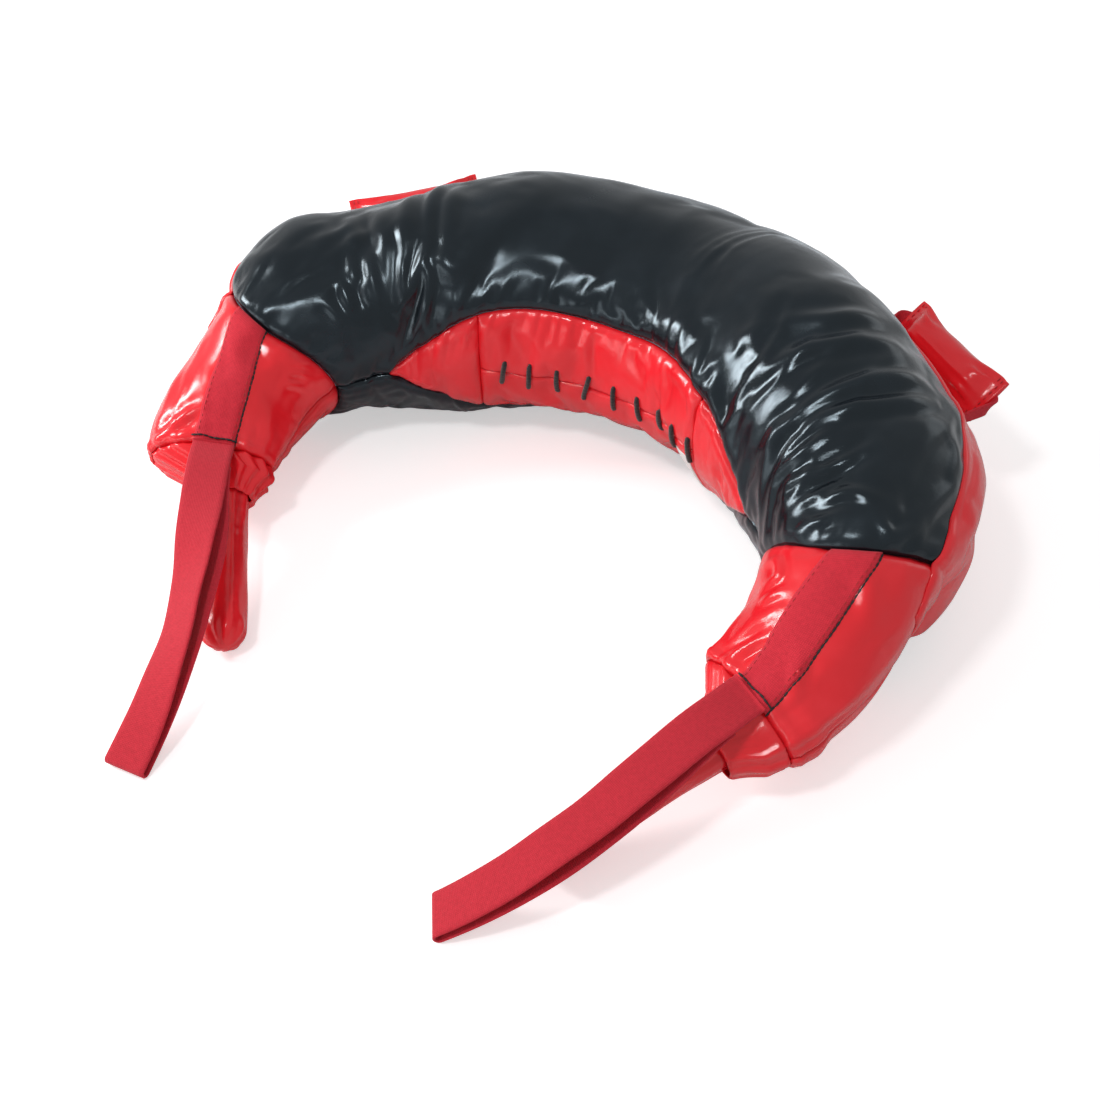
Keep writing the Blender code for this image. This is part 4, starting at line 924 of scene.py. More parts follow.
inside = {
    "liningDepth": 0.0046, "liningWall": 0.0012, "liningEnd": 0.94, "pouchDepth": 0.0075, "rounding": 0.014,
    "split": 0.257, "pouchEnd": 0.70, "stuffingEnd": 0.93, "gap": 0.0065,
}
lining = fillPiece("liningSleeve", -inside["liningEnd"], inside["liningEnd"], inside["liningDepth"], finishes["lining"],
                   wall=inside["liningWall"])
dress(lining, "padding_sleeve")
gap = inside["gap"]
sand, textile = ("pouch", "sand_pouch_cloth", 0.9), ("stuffing", "textile_stuffing", 0.6)
fills = [("sandPouch_middle", -inside["split"] + gap, inside["split"] - gap, "sand_pouch_middle", sand)]
for side, turn in sides.items():
    fills.append((f"sandPouch_{side}", turn * (inside["split"] + gap), turn * (inside["pouchEnd"] - gap),
                  f"sand_pouch_{side}", sand))
    fills.append((f"endStuffing_{side}", turn * (inside["pouchEnd"] + gap), turn * inside["stuffingEnd"],
                  f"end_stuffing_{side}", textile))
for name, first, last, node, (finish, slotName, fill) in fills:
    piece = fillPiece(name, min(first, last), max(first, last), inside["pouchDepth"], finishes[finish],
                      rounding=inside["rounding"])
    dress(piece, node)
print("lining and fill made")

# straps: sewn webbing and hand loops
strap = {
    "width": 0.0320, "thickness": 0.0018, "foldRadius": 0.0042, "spread": 0.0125, "tail": 0.024,
    "droopPower": 1.9, "twistShare": 0.333, "openShare": 0.25, "steps": 96, "foldSteps": 9,
    "length": {"left": 0.273, "right": 0.242}, "frameLift": 0.0031,
    "headingDeg": {"left": (33.3, 16.0, -42.4), "right": (-21.6, 29.1, -61.3)},
    "rollDeg": {"left": 38.0, "right": 6.0},
    "anchorShares": (0.765, 0.805, 0.85, 0.90, 0.95, 1.0),
    "anchorDeg": {"left": (8.0, 12.5, 16.0, 17.0, 16.0, 13.5), "right": (-2.5, -0.8, -0.8, -2.5, -6.0, -10.5)},
    "columns": 10, "edgeRound": 0.0007, "sewnLift": 0.0002, "overlap": 0.0030,
    "wave": 0.0007, "sideShift": {"left": 0.0004, "right": 0.0016},
}


def ribbonProfile(width, thickness, columns):
    # closed cross section of webbing: across, inward, and its place on the cloth
    half = width / 2
    edge = min(strap["edgeRound"], thickness / 2)
    outside = [(x, 0.0) for x in np.linspace(-half + edge, half - edge, columns)]
    inner = [(x, -thickness) for x, z in reversed(outside)]
    return np.array(outside + [(half, -thickness / 2)] + inner + [(-half, -thickness / 2)])


def ribbon(name, rows, width, thickness, columns, material):
    # rows: middle of the outer face, direction across, direction into the cloth, metres along, and width share
    profile = ribbonProfile(width, thickness, columns)
    count = len(profile)
    points, uv = [], []
    for point, across, inwards, along, share in rows:
        for x, z in profile:
            points.append(point + across * (x * share) - inwards * z)
            uv.append((x, along))
    faces = gridFaces(len(rows), count, ring=True)
    faces.append(tuple(range(count))[::-1])
    last = (len(rows) - 1) * count
    faces.append(tuple(range(last, last + count)))
    piece = meshPiece(name, points, faces, material, np.array(uv))
    fixNormals(piece)
    return piece


def anchorDegAt(side, u):
    return np.interp(np.abs(u), strap["anchorShares"], strap["anchorDeg"][side])


def loopRoute(side, root):
    # outer face of the hand loop: out along the top layer, round the fold and back underneath
    first, second, third = strap["headingDeg"][side]
    length, steps = strap["length"][side], strap["steps"]
    rest = strap["foldRadius"] * 2 + 0.0006
    places, x, y = [], root[0], root[1]
    fine = 4
    for k in range(steps * fine + 1):
        t = k / (steps * fine)
        if k % fine == 0:
            places.append(np.array([x, y, rest + (root[2] - rest) * (1 - t ** strap["droopPower"])]))
        after = (k + 1) / (steps * fine)
        drop = (root[2] - rest) * (after ** strap["droopPower"] - t ** strap["droopPower"])
        plan = math.sqrt(max((length / (steps * fine)) ** 2 - drop**2, 0.0))
        heading = math.radians(first + second * t + third * t * t)
        x += plan * math.sin(heading)
        y -= plan * math.cos(heading)
    places = np.array(places)
    ahead = np.gradient(places, axis=0)
    ahead /= np.linalg.norm(ahead, axis=1, keepdims=True)
    sideways = np.stack([-ahead[:, 1], ahead[:, 0], 0 * ahead[:, 0]], -1)
    sideways /= np.linalg.norm(sideways, axis=1, keepdims=True)
    down = np.cross(sideways, ahead)
    down *= np.where(down[:, 2] > 0, -1, 1)[:, None]
    along = np.arange(steps + 1) / steps * length
    roll = np.radians(strap["rollDeg"][side]) * np.sin(np.pi * along / length)[:, None] ** 1.5
    sideways, down = sideways * np.cos(roll) - down * np.sin(roll), down * np.cos(roll) + sideways * np.sin(roll)
    route = [(places[k], ahead[k], sideways[k], along[k], k) for k in range(steps + 1)]
    radius = strap["foldRadius"]
    for k in range(1, strap["foldSteps"]):
        angle = math.pi * k / strap["foldSteps"]
        point = places[-1] + ahead[-1] * radius * math.sin(angle) + down[-1] * radius * (1 - math.cos(angle))
        way = ahead[-1] * math.cos(angle) + down[-1] * math.sin(angle)
        route.append((point, way, sideways[-1], length + radius * angle, steps))
    tail = math.ceil(strap["tail"] / length * steps)
    pressed = 2 * strap["thickness"] + 0.0006
    for k in range(steps, tail - 1, -1):
        t = (k - tail) / (steps - tail)
        spacing = pressed + (2 * radius - pressed) * float(ease(t / strap["openShare"]))
        spacing += (strap["spread"] - 2 * radius) * math.sin(math.pi * t) ** 2
        shift = strap["sideShift"][side] * math.sin(math.pi * t)
        point = places[k] + down[k] * spacing + sideways[k] * shift
        route.append((point, -ahead[k], sideways[k], length * 2 + radius * math.pi - along[k], k))
    return route


def makeStrap(side, turn):
    # webbing sewn on the end panel; the free loop starts on top of its end and folds over the neck
    reach = body["seamShare"] + 0.0004
    u = turn * np.linspace(reach, 1.0, 60)
    middle = anchorDegAt(side, u)
    thickness = strap["thickness"]
    top = strap["sewnLift"] + thickness
    halfDeg = np.degrees(strap["width"] / 2 / sectionAt(np.abs(u), "wide"))
    columns = strap["columns"]
    profile = ribbonProfile(strap["width"], thickness, columns)
    shares = profile[:, 0] / (strap["width"] / 2)
    uGrid = np.repeat(u[:, None], len(profile), 1)
    degGrid = middle[:, None] + halfDeg[:, None] * shares[None, :]
    points = onShell(uGrid, degGrid, top + profile[None, :, 1] + 0 * uGrid)
    faces = gridFaces(len(u), len(profile), ring=True)
    faces += [tuple(range(len(profile)))[::-1], tuple(range((len(u) - 1) * len(profile), len(u) * len(profile)))]
    uv = np.stack([profile[None, :, 0] + 0 * uGrid, (np.abs(uGrid) - reach) * body["halfLength"]], -1)
    sewn = meshPiece(f"sewnWebbing_{side}", points.reshape(-1, 3), faces, finishes["sewnWebbing"], uv.reshape(-1, 2))
    fixNormals(sewn)
    dress(sewn, f"strap_anchor_{side}")

    rootDeg = strap["anchorDeg"][side][-1]
    half = math.degrees(strap["width"] / 2 / sectionAt(1.0, "wide"))
    root = plainSkin(np.array([turn * 1.0]), np.array([rootDeg]), strap["frameLift"])[0]
    low, high = (plainSkin(np.array([turn * 1.0]), np.array([deg]), strap["frameLift"])[0]
                 for deg in (rootDeg - half, rootDeg + half))
    across = -turn * (high - low)
    across /= np.linalg.norm(across)
    route = loopRoute(side, root)
    rows = []
    steps = strap["steps"]
    total = len(route)
    lead = 8
    overlapU = strap["overlap"] / body["halfLength"]
    leadU = turn * np.linspace(1 - overlapU, 1.0, lead)
    before = onShell(leadU, anchorDegAt(side, leadU), top + thickness + 0.0003)
    waves = np.random.RandomState(3 if turn < 0 else 4).uniform(0, 6, 4)
    for k, (point, ahead, sideways, along, number) in enumerate(route):
        returning = k > steps + strap["foldSteps"] - 1
        count = total - 1 - k if returning else k
        blend = float(ease(count / total / strap["twistShare"]))
        wide = across * (1 - blend) + sideways * blend
        wide /= np.linalg.norm(wide)
        thin = np.cross(wide, ahead)
        thin /= np.linalg.norm(thin)
        lift = strap["wave"] * math.sin(math.pi * min(number / steps, 1)) * (
            math.sin(along / 0.021 + waves[0]) + 0.6 * math.sin(along / 0.0093 + waves[1]))
        if not returning and number < 10:
            # eases from the sewn height down to the frame's route
            point = point + (before[-1] - root) * (1 - float(ease(number / 10)))
        rows.append((point - thin * lift * (0.4 if returning else 1.0), wide, thin, along, 1.0))
    firstAcross, firstThin = rows[0][1], rows[0][2]
    start = []
    for k in range(lead - 1):
        start.append((before[k], firstAcross, firstThin, -strap["overlap"] * (1 - k / (lead - 1)), 1.0))
    rows = start + rows
    loop = ribbon(f"handLoop_{side}", rows, strap["width"], thickness, columns, finishes["webbing"])
    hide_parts(f"hand_loop_{side}")
    ahead = route[1][0] - route[0][0]
    ahead /= np.linalg.norm(ahead)
    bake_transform(loop)


for side, turn in sides.items():
    makeStrap(side, turn)
print("straps made")


# grips in the necks
grip = {
    "length": 0.157, "rootRadius": 0.0180, "waistRadius": 0.0148, "radius": 0.0160, "rootHole": 0.0060,
    "tipHeight": 0.0170, "headingDeg": {"left": 39.5, "right": -26.0}, "waistShare": 0.30, "swellShare": 0.62,
    "ballDeg": 62.0, "around": 96, "along": 150,
    "seamDeg": {"left": 118.0, "right": 60.0}, "seamHeight": 0.0009, "seamWidth": 0.0013,
    "puckerHeight": 0.00035, "puckerPitch": 0.0062, "gatherHeight": 0.0016, "gatherReach": 0.030,
    "dentHeight": 0.0007, "tipGather": 0.0007,
}


def gripAxis(side, turn):
    centre = bodyFrame(np.array([turn * body["openingShare"]]))[0][0]
    heading = math.radians(grip["headingDeg"][side])
    drop = grip["tipHeight"] - centre[2]
    reach = grip["length"] - grip["radius"]
    plan = math.sqrt(reach**2 - drop**2)
    axis = np.array([plan * math.sin(heading), -plan * math.cos(heading), drop])
    return centre, axis / np.linalg.norm(axis)


def gripOutline():
    # distance along the axis and radius, evenly spaced along the surface
    root, waist, tip = grip["rootRadius"], grip["waistRadius"], grip["radius"]
    angles = np.linspace(math.pi - math.asin(grip["rootHole"] / root), math.radians(grip["ballDeg"]), 24)
    outline = [(root * math.cos(a), root * math.sin(a)) for a in angles]
    x0, r0 = outline[-1]
    straight = grip["length"] - tip
    for t in np.linspace(0, 1, 60)[1:]:
        x = x0 + (straight - x0) * t
        r = np.interp(x, [x0, grip["length"] * grip["waistShare"], grip["length"] * grip["swellShare"], straight],
                      [r0, waist, (tip + waist) / 2, tip])
        outline.append((x, r))
    outline += [(straight + tip * math.sin(a), tip * math.cos(a)) for a in np.linspace(0, math.pi / 2, 24)[1:-1]]
    outline = np.array(outline)
    for step in range(12):
        outline[1:-1] = (outline[:-2] + 2 * outline[1:-1] + outline[2:]) / 4
    run = np.concatenate([[0], np.cumsum(np.linalg.norm(np.diff(outline, axis=0), axis=1))])
    places = np.linspace(0, run[-1], grip["along"])
    return np.stack([np.interp(places, run, outline[:, 0]), np.interp(places, run, outline[:, 1])], -1), places


def axisFrame(axis):
    side = np.cross(axis, (0, 0, 1.0))
    side /= np.linalg.norm(side)
    return side, np.cross(side, axis)


def makeGrip(side, turn):
    centre, axis = gripAxis(side, turn)
    across, above = axisFrame(axis)
    outline, places = gripOutline()
    phi = np.arange(grip["around"]) * 2 * math.pi / grip["around"]
    xGrid, phiGrid = np.meshgrid(outline[:, 0], phi, indexing="ij")
    radiusGrid = np.repeat(outline[:, 1][:, None], len(phi), 1)
    runGrid = np.repeat(places[:, None], len(phi), 1)
    seed = 60 if turn < 0 else 70
    length = grip["length"]
    relief = np.zeros_like(radiusGrid)
    away = (np.degrees(phiGrid) - grip["seamDeg"][side] + 180) % 360 - 180
    away = np.radians(away) * grip["radius"]
    flat = ease(xGrid / 0.03) * ease((length - xGrid) / 0.006)
    relief += flat * grip["seamHeight"] * np.exp(-(away / grip["seamWidth"]) ** 2)
    ripple = noiseLine(runGrid / grip["puckerPitch"], seed)
    ripple = ripple + 0.6 * noiseLine(runGrid / grip["puckerPitch"] * 2.1, seed + 1)
    relief += flat * grip["puckerHeight"] * ripple * np.exp(-(np.abs(away) / 0.008) ** 1.4)
    turns = phiGrid / (2 * math.pi)
    folds = np.cos(2 * math.pi * 7 * turns + 2.0 * noiseLine(runGrid / 0.02 + 5, seed + 2))
    folds = folds + 0.6 * np.cos(2 * math.pi * 11 * turns + 1.7)
    fade = np.exp(-np.maximum(xGrid, 0) / grip["gatherReach"])
    relief += grip["gatherHeight"] * folds * fade * ease((xGrid + 0.012) / 0.02) * 0.6
    tipFolds = np.cos(2 * math.pi * 9 * turns + 1.0) + 0.5 * np.cos(2 * math.pi * 14 * turns)
    nearTip = ease((xGrid - length + 0.024) / 0.016)
    relief += grip["tipGather"] * tipFolds * nearTip * np.clip(radiusGrid / grip["radius"], 0, 1)
    relief += grip["dentHeight"] * noisePlane(xGrid / 0.045 + 20, 2.2 * np.cos(phiGrid) + 20, seed + 3)
    relief += grip["dentHeight"] * noisePlane(xGrid / 0.030 + 50, 2.2 * np.sin(phiGrid) + 50, seed + 4)
    radiusGrid = radiusGrid + relief * np.clip(outline[:, 1][:, None] / 0.008, 0, 1)
    points = centre + axis * xGrid[..., None] + across * (radiusGrid * np.cos(phiGrid))[..., None] \
        + above * (radiusGrid * np.sin(phiGrid))[..., None]
    points[..., 2] = np.maximum(points[..., 2], 0.0003)
    count = len(phi)
    flatPoints = points.reshape(-1, 3)
    uv = np.stack([phiGrid * 0.018, runGrid], -1).reshape(-1, 2)
    faces = gridFaces(len(outline), count, ring=True)
    flatPoints, uv = closeEnds(flatPoints, uv, faces, count, (-0.001 * axis, 0.0002 * axis))
    piece = meshPiece(f"gripCover_{side}", flatPoints, faces, finishes["red"], uv)
    fixNormals(piece)
    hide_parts(f"grip_cover_{side}", f"grip_core_{side}")
    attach(piece, f"{side}_grip")


for side, turn in sides.items():
    makeGrip(side, turn)
print("grips made")


# roll handles on the outer wall
handle = {
    "length": 0.118, "radius": 0.0160, "endHalfWidth": 0.0200, "endHalfHeight": 0.0023, "standoff": 0.0291,
    "legReach": 0.0100, "deg": -86.0, "startShare": {"left": 0.335, "right": 0.260},
    "webWidth": 0.0180, "patchSize": 0.030,
    "along": 110, "around": 72, "pinchStart": 0.52, "pinchEnd": 0.95,
    "foldHeight": 0.0014, "dentHeight": 0.0009, "flatTurnDeg": 48.0, "coreRows": 20, "coreShare": 0.88,
    "bendShares": (0.95, 0.12),
    "tilt": {"left": -0.03, "right": 0.0},
    "footDraw": 0.007, "turnDepth": 0.016, "patchLift": 0.0047, "patchRoll": 0.0016, "patchSpacing": 0.0015,
    "nudge": {"left": (0.0, -0.005, 0.0055), "right": (-0.007, -0.009, 0.001)},
}


def handleFrame(side, turn):
    depth = 0.0045 + 0.0009
    first = turn * handle["startShare"][side]

    def at(u):
        return plainSkin(np.array([u]), np.array([handle["deg"]]), depth)[0]

    span = handle["length"] + 2 * handle["legReach"]
    start = at(first)
    low, high = first, turn * body["seamShare"]
    for step in range(40):
        middle = (low + high) / 2
        if np.linalg.norm(at(middle) - start) < span:
            low = middle
        else:
            high = middle
    end = at(low)
    along = (end - start) / np.linalg.norm(end - start)
    centre, forward, inward, upward = (v[0] for v in bodyFrame(np.array([(first + low) / 2])))
    angle = math.radians(handle["deg"])
    out = upward * math.cos(angle) + inward * math.sin(angle)
    out = out - along * (out @ along)
    return first, low, start, end, along, out / np.linalg.norm(out)


def makeHandle(side, turn):
    first, last, start, end, along, out = handleFrame(side, turn)
    middle = (start + end) / 2
    # drawn a little towards the dented body: along, outwards and up
    forth, outwards, up = handle["nudge"][side]
    along = along + np.array([0, 0, handle["tilt"][side]])
    along /= np.linalg.norm(along)
    out = out - along * (out @ along)
    out /= np.linalg.norm(out)
    centre = middle + out * (handle["standoff"] + outwards) + along * forth + np.array([0, 0, up])
    across = np.cross(along, out)
    flatTurn = math.radians(handle["flatTurnDeg"]) * turn
    flat = across * math.cos(flatTurn) + out * math.sin(flatTurn)
    thick = out * math.cos(flatTurn) - across * math.sin(flatTurn)
    half = handle["length"] / 2
    seed = 80 if turn < 0 else 90
    t = np.linspace(-1, 1, handle["along"])
    phi = np.arange(handle["around"]) * 2 * math.pi / handle["around"]
    tGrid, phiGrid = np.meshgrid(t, phi, indexing="ij")
    pinch = ease((np.abs(tGrid) - handle["pinchStart"]) / (handle["pinchEnd"] - handle["pinchStart"])) ** 1.25
    wide = handle["radius"] + (handle["endHalfWidth"] - handle["radius"]) * pinch
    tall = handle["radius"] + (handle["endHalfHeight"] - handle["radius"]) * pinch
    turns = phiGrid / (2 * math.pi)
    grown = ease((np.abs(tGrid) - 0.30) / 0.45) * ease((1.0 - np.abs(tGrid)) / 0.14)
    folds = np.cos(2 * math.pi * 7 * turns + 1.3 * noiseLine(tGrid * 5 + 9, seed) + np.where(tGrid < 0, 0, 2)) \
        + 0.7 * np.cos(2 * math.pi * 10 * turns + np.where(tGrid < 0, 1.2, 3.1))
    relief = handle["foldHeight"] * folds * grown * (1 - 0.65 * pinch)
    relief += handle["dentHeight"] * noisePlane(tGrid * half / 0.030 + 20, 2.4 * np.cos(phiGrid) + 30, seed + 1)
    relief += handle["dentHeight"] * noisePlane(tGrid * half / 0.022 + 60, 2.4 * np.sin(phiGrid) + 70, seed + 2)
    seamAway = ((np.degrees(phiGrid) - 268 + 180) % 360 - 180) * math.pi / 180 * handle["radius"]
    relief += 0.0008 * np.exp(-(seamAway / 0.0012) ** 2) * (1 - grown)
    points = centre + along * (tGrid * half)[..., None] + flat * ((wide + relief) * np.cos(phiGrid))[..., None] \
        + thick * ((tall + relief * (1 - 0.75 * pinch)) * np.sin(phiGrid))[..., None]
    count = len(phi)
    run = np.concatenate([[0], np.cumsum(np.linalg.norm(np.diff(points[:, 0], axis=0), axis=1))])
    uv = np.stack(np.broadcast_arrays(phiGrid[0][None, :] * 0.016, run[:, None]), -1).reshape(-1, 2)
    # the flat ends are sewn shut
    faces = gridFaces(len(points), count, ring=True)
    shape, uv = closeEnds(points.reshape(-1, 3), uv, faces, count)
    cover = meshPiece(f"handleCover_{side}", shape, faces, finishes["red"], uv)
    fixNormals(cover)
    # foam roll inside, shorter than the cover so that the flat ends stay clear of it
    rings = points[handle["coreRows"]:handle["along"] - handle["coreRows"]:3]
    middles = rings.mean(1, keepdims=True)
    core = middles + (rings - middles) * handle["coreShare"]
    faces = gridFaces(len(core), count, ring=True)
    core = closeEnds(core.reshape(-1, 3), None, faces, count)[0]
    foam = meshPiece(f"handleCore_{side}", core, faces, finishes["foam"])
    fixNormals(foam)
    # webbing through the roll, its legs going down to the tabs on the band
    feet = [onShell(place, handle["deg"], handle["patchLift"]) - centre for place in (first, last)]
    stops = []
    for end, foot in zip((-1, 1), feet):
        # distance along the roll, depth under it, share of the webbing's width
        reach, depth = abs(foot @ along) - handle["footDraw"], foot @ out
        corner = half + 0.0045
        legs = [(reach, depth, 0.35), (reach + (corner - reach) * 0.3, depth * 0.7, 0.55),
                (corner, depth * 0.22, 0.62), (corner - 0.002, -0.0010, 0.80),
                (half - 0.004, 0.0, 1.0), (half - 0.026, 0.0, 1.0)]
        legs = [(end * a, b, w) for a, b, w in legs]
        stops += legs if end < 0 else legs[::-1]
    stops = np.array(stops)
    gone = np.concatenate([[0], np.cumsum(np.hypot(np.diff(stops[:, 0]), np.diff(stops[:, 1])))])
    places = np.linspace(0, gone[-1], 120)
    route = np.stack([np.interp(places, gone, stops[:, k]) for k in range(3)], -1)
    for step in range(6):
        route[1:-1] = (route[:-2] + 2 * route[1:-1] + route[2:]) / 4
    spots = centre + along * route[:, :1] + out * route[:, 1:2]
    ahead = np.gradient(spots, axis=0)
    ahead /= np.linalg.norm(ahead, axis=1, keepdims=True)
    rows = []
    for k, spot in enumerate(spots):
        inRoll = float(ease(1 - abs(route[k, 1]) / handle["turnDepth"]))
        wide = across * (1 - inRoll) + flat * inRoll
        wide = wide - ahead[k] * (wide @ ahead[k])
        wide /= np.linalg.norm(wide)
        thin = np.cross(wide, ahead[k])
        rows.append((spot + thin * strap["thickness"] / 2, wide, thin, places[k], route[k, 2]))
    web = ribbon(f"handleWeb_{side}", rows, handle["webWidth"], strap["thickness"], 8, finishes["webbing"])
    dress(cover, f"handle_cover_{side}", f"{side}_roll_handle")
    dress(foam, f"handle_core_{side}", f"{side}_roll_handle")
    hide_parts(f"handle_web_{side}")
    # the webbing is baked where it lies
    depth = float(np.mean([foot @ out for foot in feet]))
    start, end = (centre + out * depth * share for share in handle["bendShares"])
    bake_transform(web)
    # sewn patches on the band under the legs
    halfShare = handle["patchSize"] / 2 / body["halfLength"]
    halfDeg = math.degrees(handle["patchSize"] / 2 / body["bellyRadius"])
    low, high = still(handle["deg"] - halfDeg), still(handle["deg"] + halfDeg)
    for place, end in ((first, "front"), (last, "rear")):
        patch = shellPanel(f"handlePatch_{end}_{side}", low, high, place - halfShare, place + halfShare, finishes["red"],
                           lift=handle["patchLift"], roll=handle["patchRoll"], spacing=handle["patchSpacing"])
        dress(patch, f"handle_patch_{end}_{side}")
    # the stitches need these
    return first, last, centre, along, thick, flat


handleFrames = {side: makeHandle(side, turn) for side, turn in sides.items()}
print("roll handles made")


# laces, tongue and label
lace = {
    "count": 9, "radius": 0.0019, "first": -0.275, "last": 0.333, "halfSpan": 0.0112, "lean": -0.0010,
    "outside": 0.0022, "inside": 0.0042, "tail": 0.012, "sides": 14, "step": 0.0008, "strandHeight": 0.00028,
}


def tube(name, path, radius, material, corners=12, twist=0.0, strand=0.0, strands=0):
    # round cord along a path, with raised strands that wind round it
    path = np.asarray(path)
    ahead = np.gradient(path, axis=0)
    ahead /= np.linalg.norm(ahead, axis=1, keepdims=True)
    run = np.concatenate([[0], np.cumsum(np.linalg.norm(np.diff(path, axis=0), axis=1))])
    side = np.cross(ahead[0], (0.31, 0.22, 0.92))
    points = []
    for k in range(len(path)):
        side = side - ahead[k] * (side @ ahead[k])
        side /= np.linalg.norm(side)
        up = np.cross(ahead[k], side)
        for j in range(corners):
            angle = 2 * math.pi * j / corners
            r = radius
            if strands:
                turned, twisted = strands / 2 * angle, run[k] * twist
                r += strand * math.cos(turned + twisted) * math.cos(turned - twisted)
            points.append(path[k] + (side * math.cos(angle) + up * math.sin(angle)) * r)
    faces = gridFaces(len(path), corners, ring=True)
    last = (len(path) - 1) * corners
    faces += [tuple(range(corners))[::-1], tuple(range(last, last + corners))]
    uv = [(j / corners * 2 * math.pi * radius, run[k]) for k in range(len(path)) for j in range(corners)]
    piece = meshPiece(name, points, faces, material, np.array(uv))
    fixNormals(piece)
    return piece


def spreadLine(points, step):
    # even, rounded path through points
    points = np.array(points, float)
    run = np.concatenate([[0], np.cumsum(np.linalg.norm(np.diff(points, axis=0), axis=1))])
    places = np.arange(0, run[-1], step)
    line = np.stack([np.interp(places, run, points[:, k]) for k in range(points.shape[1])], -1)
    for step in range(3):
        line[1:-1] = (line[:-2] + 2 * line[1:-1] + line[2:]) / 4
    return line


laceShares = np.linspace(lace["first"], lace["last"], lace["count"])


def makeLace():
    half = lace["halfSpan"]
    stops = [(laceShares[0] - lace["tail"] / body["halfLength"], body["innerDeg"] - 8, -lace["inside"])]
    for number, u in enumerate(laceShares):
        size = gapDeg(u, 1.0)
        high, low = body["innerDeg"] - half * size, body["innerDeg"] + half * size
        lean = (lace["lean"] + 0.0016 * (number % 3 - 1)) / body["halfLength"]
        # one bar: out through the upper hole, over the slit and in through the lower one
        inside, outside = -lace["inside"], lace["outside"]
        steps = [(-1.0, inside), (-1.0, 0.0), (-0.90, outside), (-0.5, outside + 0.0004), (0.0, outside + 0.0006),
                 (0.5, outside + 0.0004), (0.90, outside), (1.0, 0.0), (1.0, inside)]
        for share, lift in steps:
            stops.append((u + lean * share, body["innerDeg"] + share * half * size, lift))
        if number + 1 < len(laceShares):
            following = laceShares[number + 1]
            for t in (0.3, 0.5, 0.7):
                stops.append((u + (following - u) * t, low + (high - low) * t, -lace["inside"] - 0.0008))
    stops.append((laceShares[-1] + lace["tail"] / body["halfLength"], body["innerDeg"] + 6, -lace["inside"]))
    stops = np.array(stops)
    path = onShell(stops[:, 0], stops[:, 1], stops[:, 2])
    cord = tube("mouthLace", spreadLine(path, lace["step"]), lace["radius"], finishes["cord"], lace["sides"],
                twist=2 * math.pi / 0.006, strand=lace["strandHeight"], strands=8)
    dress(cord, "mouth_lace")


makeLace()

tongue = {"halfDeg": 22.0, "end": 0.28, "lift": -0.0030, "wall": 0.0010}
low, high = still(body["innerDeg"] - tongue["halfDeg"]), still(body["innerDeg"] + tongue["halfDeg"])
dress(shellPanel("mouthTongue", low, high, -tongue["end"], tongue["end"], finishes["black"], lift=tongue["lift"],
                 roll=0.0, wall=tongue["wall"]), "mouth_tongue")

label = {"start": 0.235, "length": 0.045, "deg": (103.0, 123.0), "lift": 0.0010, "wall": 0.0005, "spacing": 0.0015}
low, high = (still(deg) for deg in label["deg"])
dress(shellPanel("careLabel", low, high, label["start"], label["start"] + label["length"] / body["halfLength"],
                 finishes["label"], lift=label["lift"], roll=0.0, wall=label["wall"], spacing=label["spacing"]),
      "care_label")
print("laces, tongue and label made")

# stitching
stitch = {"length": 0.0036, "gap": 0.0014, "radius": 0.00038, "seed": 7, "fromSeam": 0.0034,
          "secondRow": 0.0105, "sink": 0.0001}


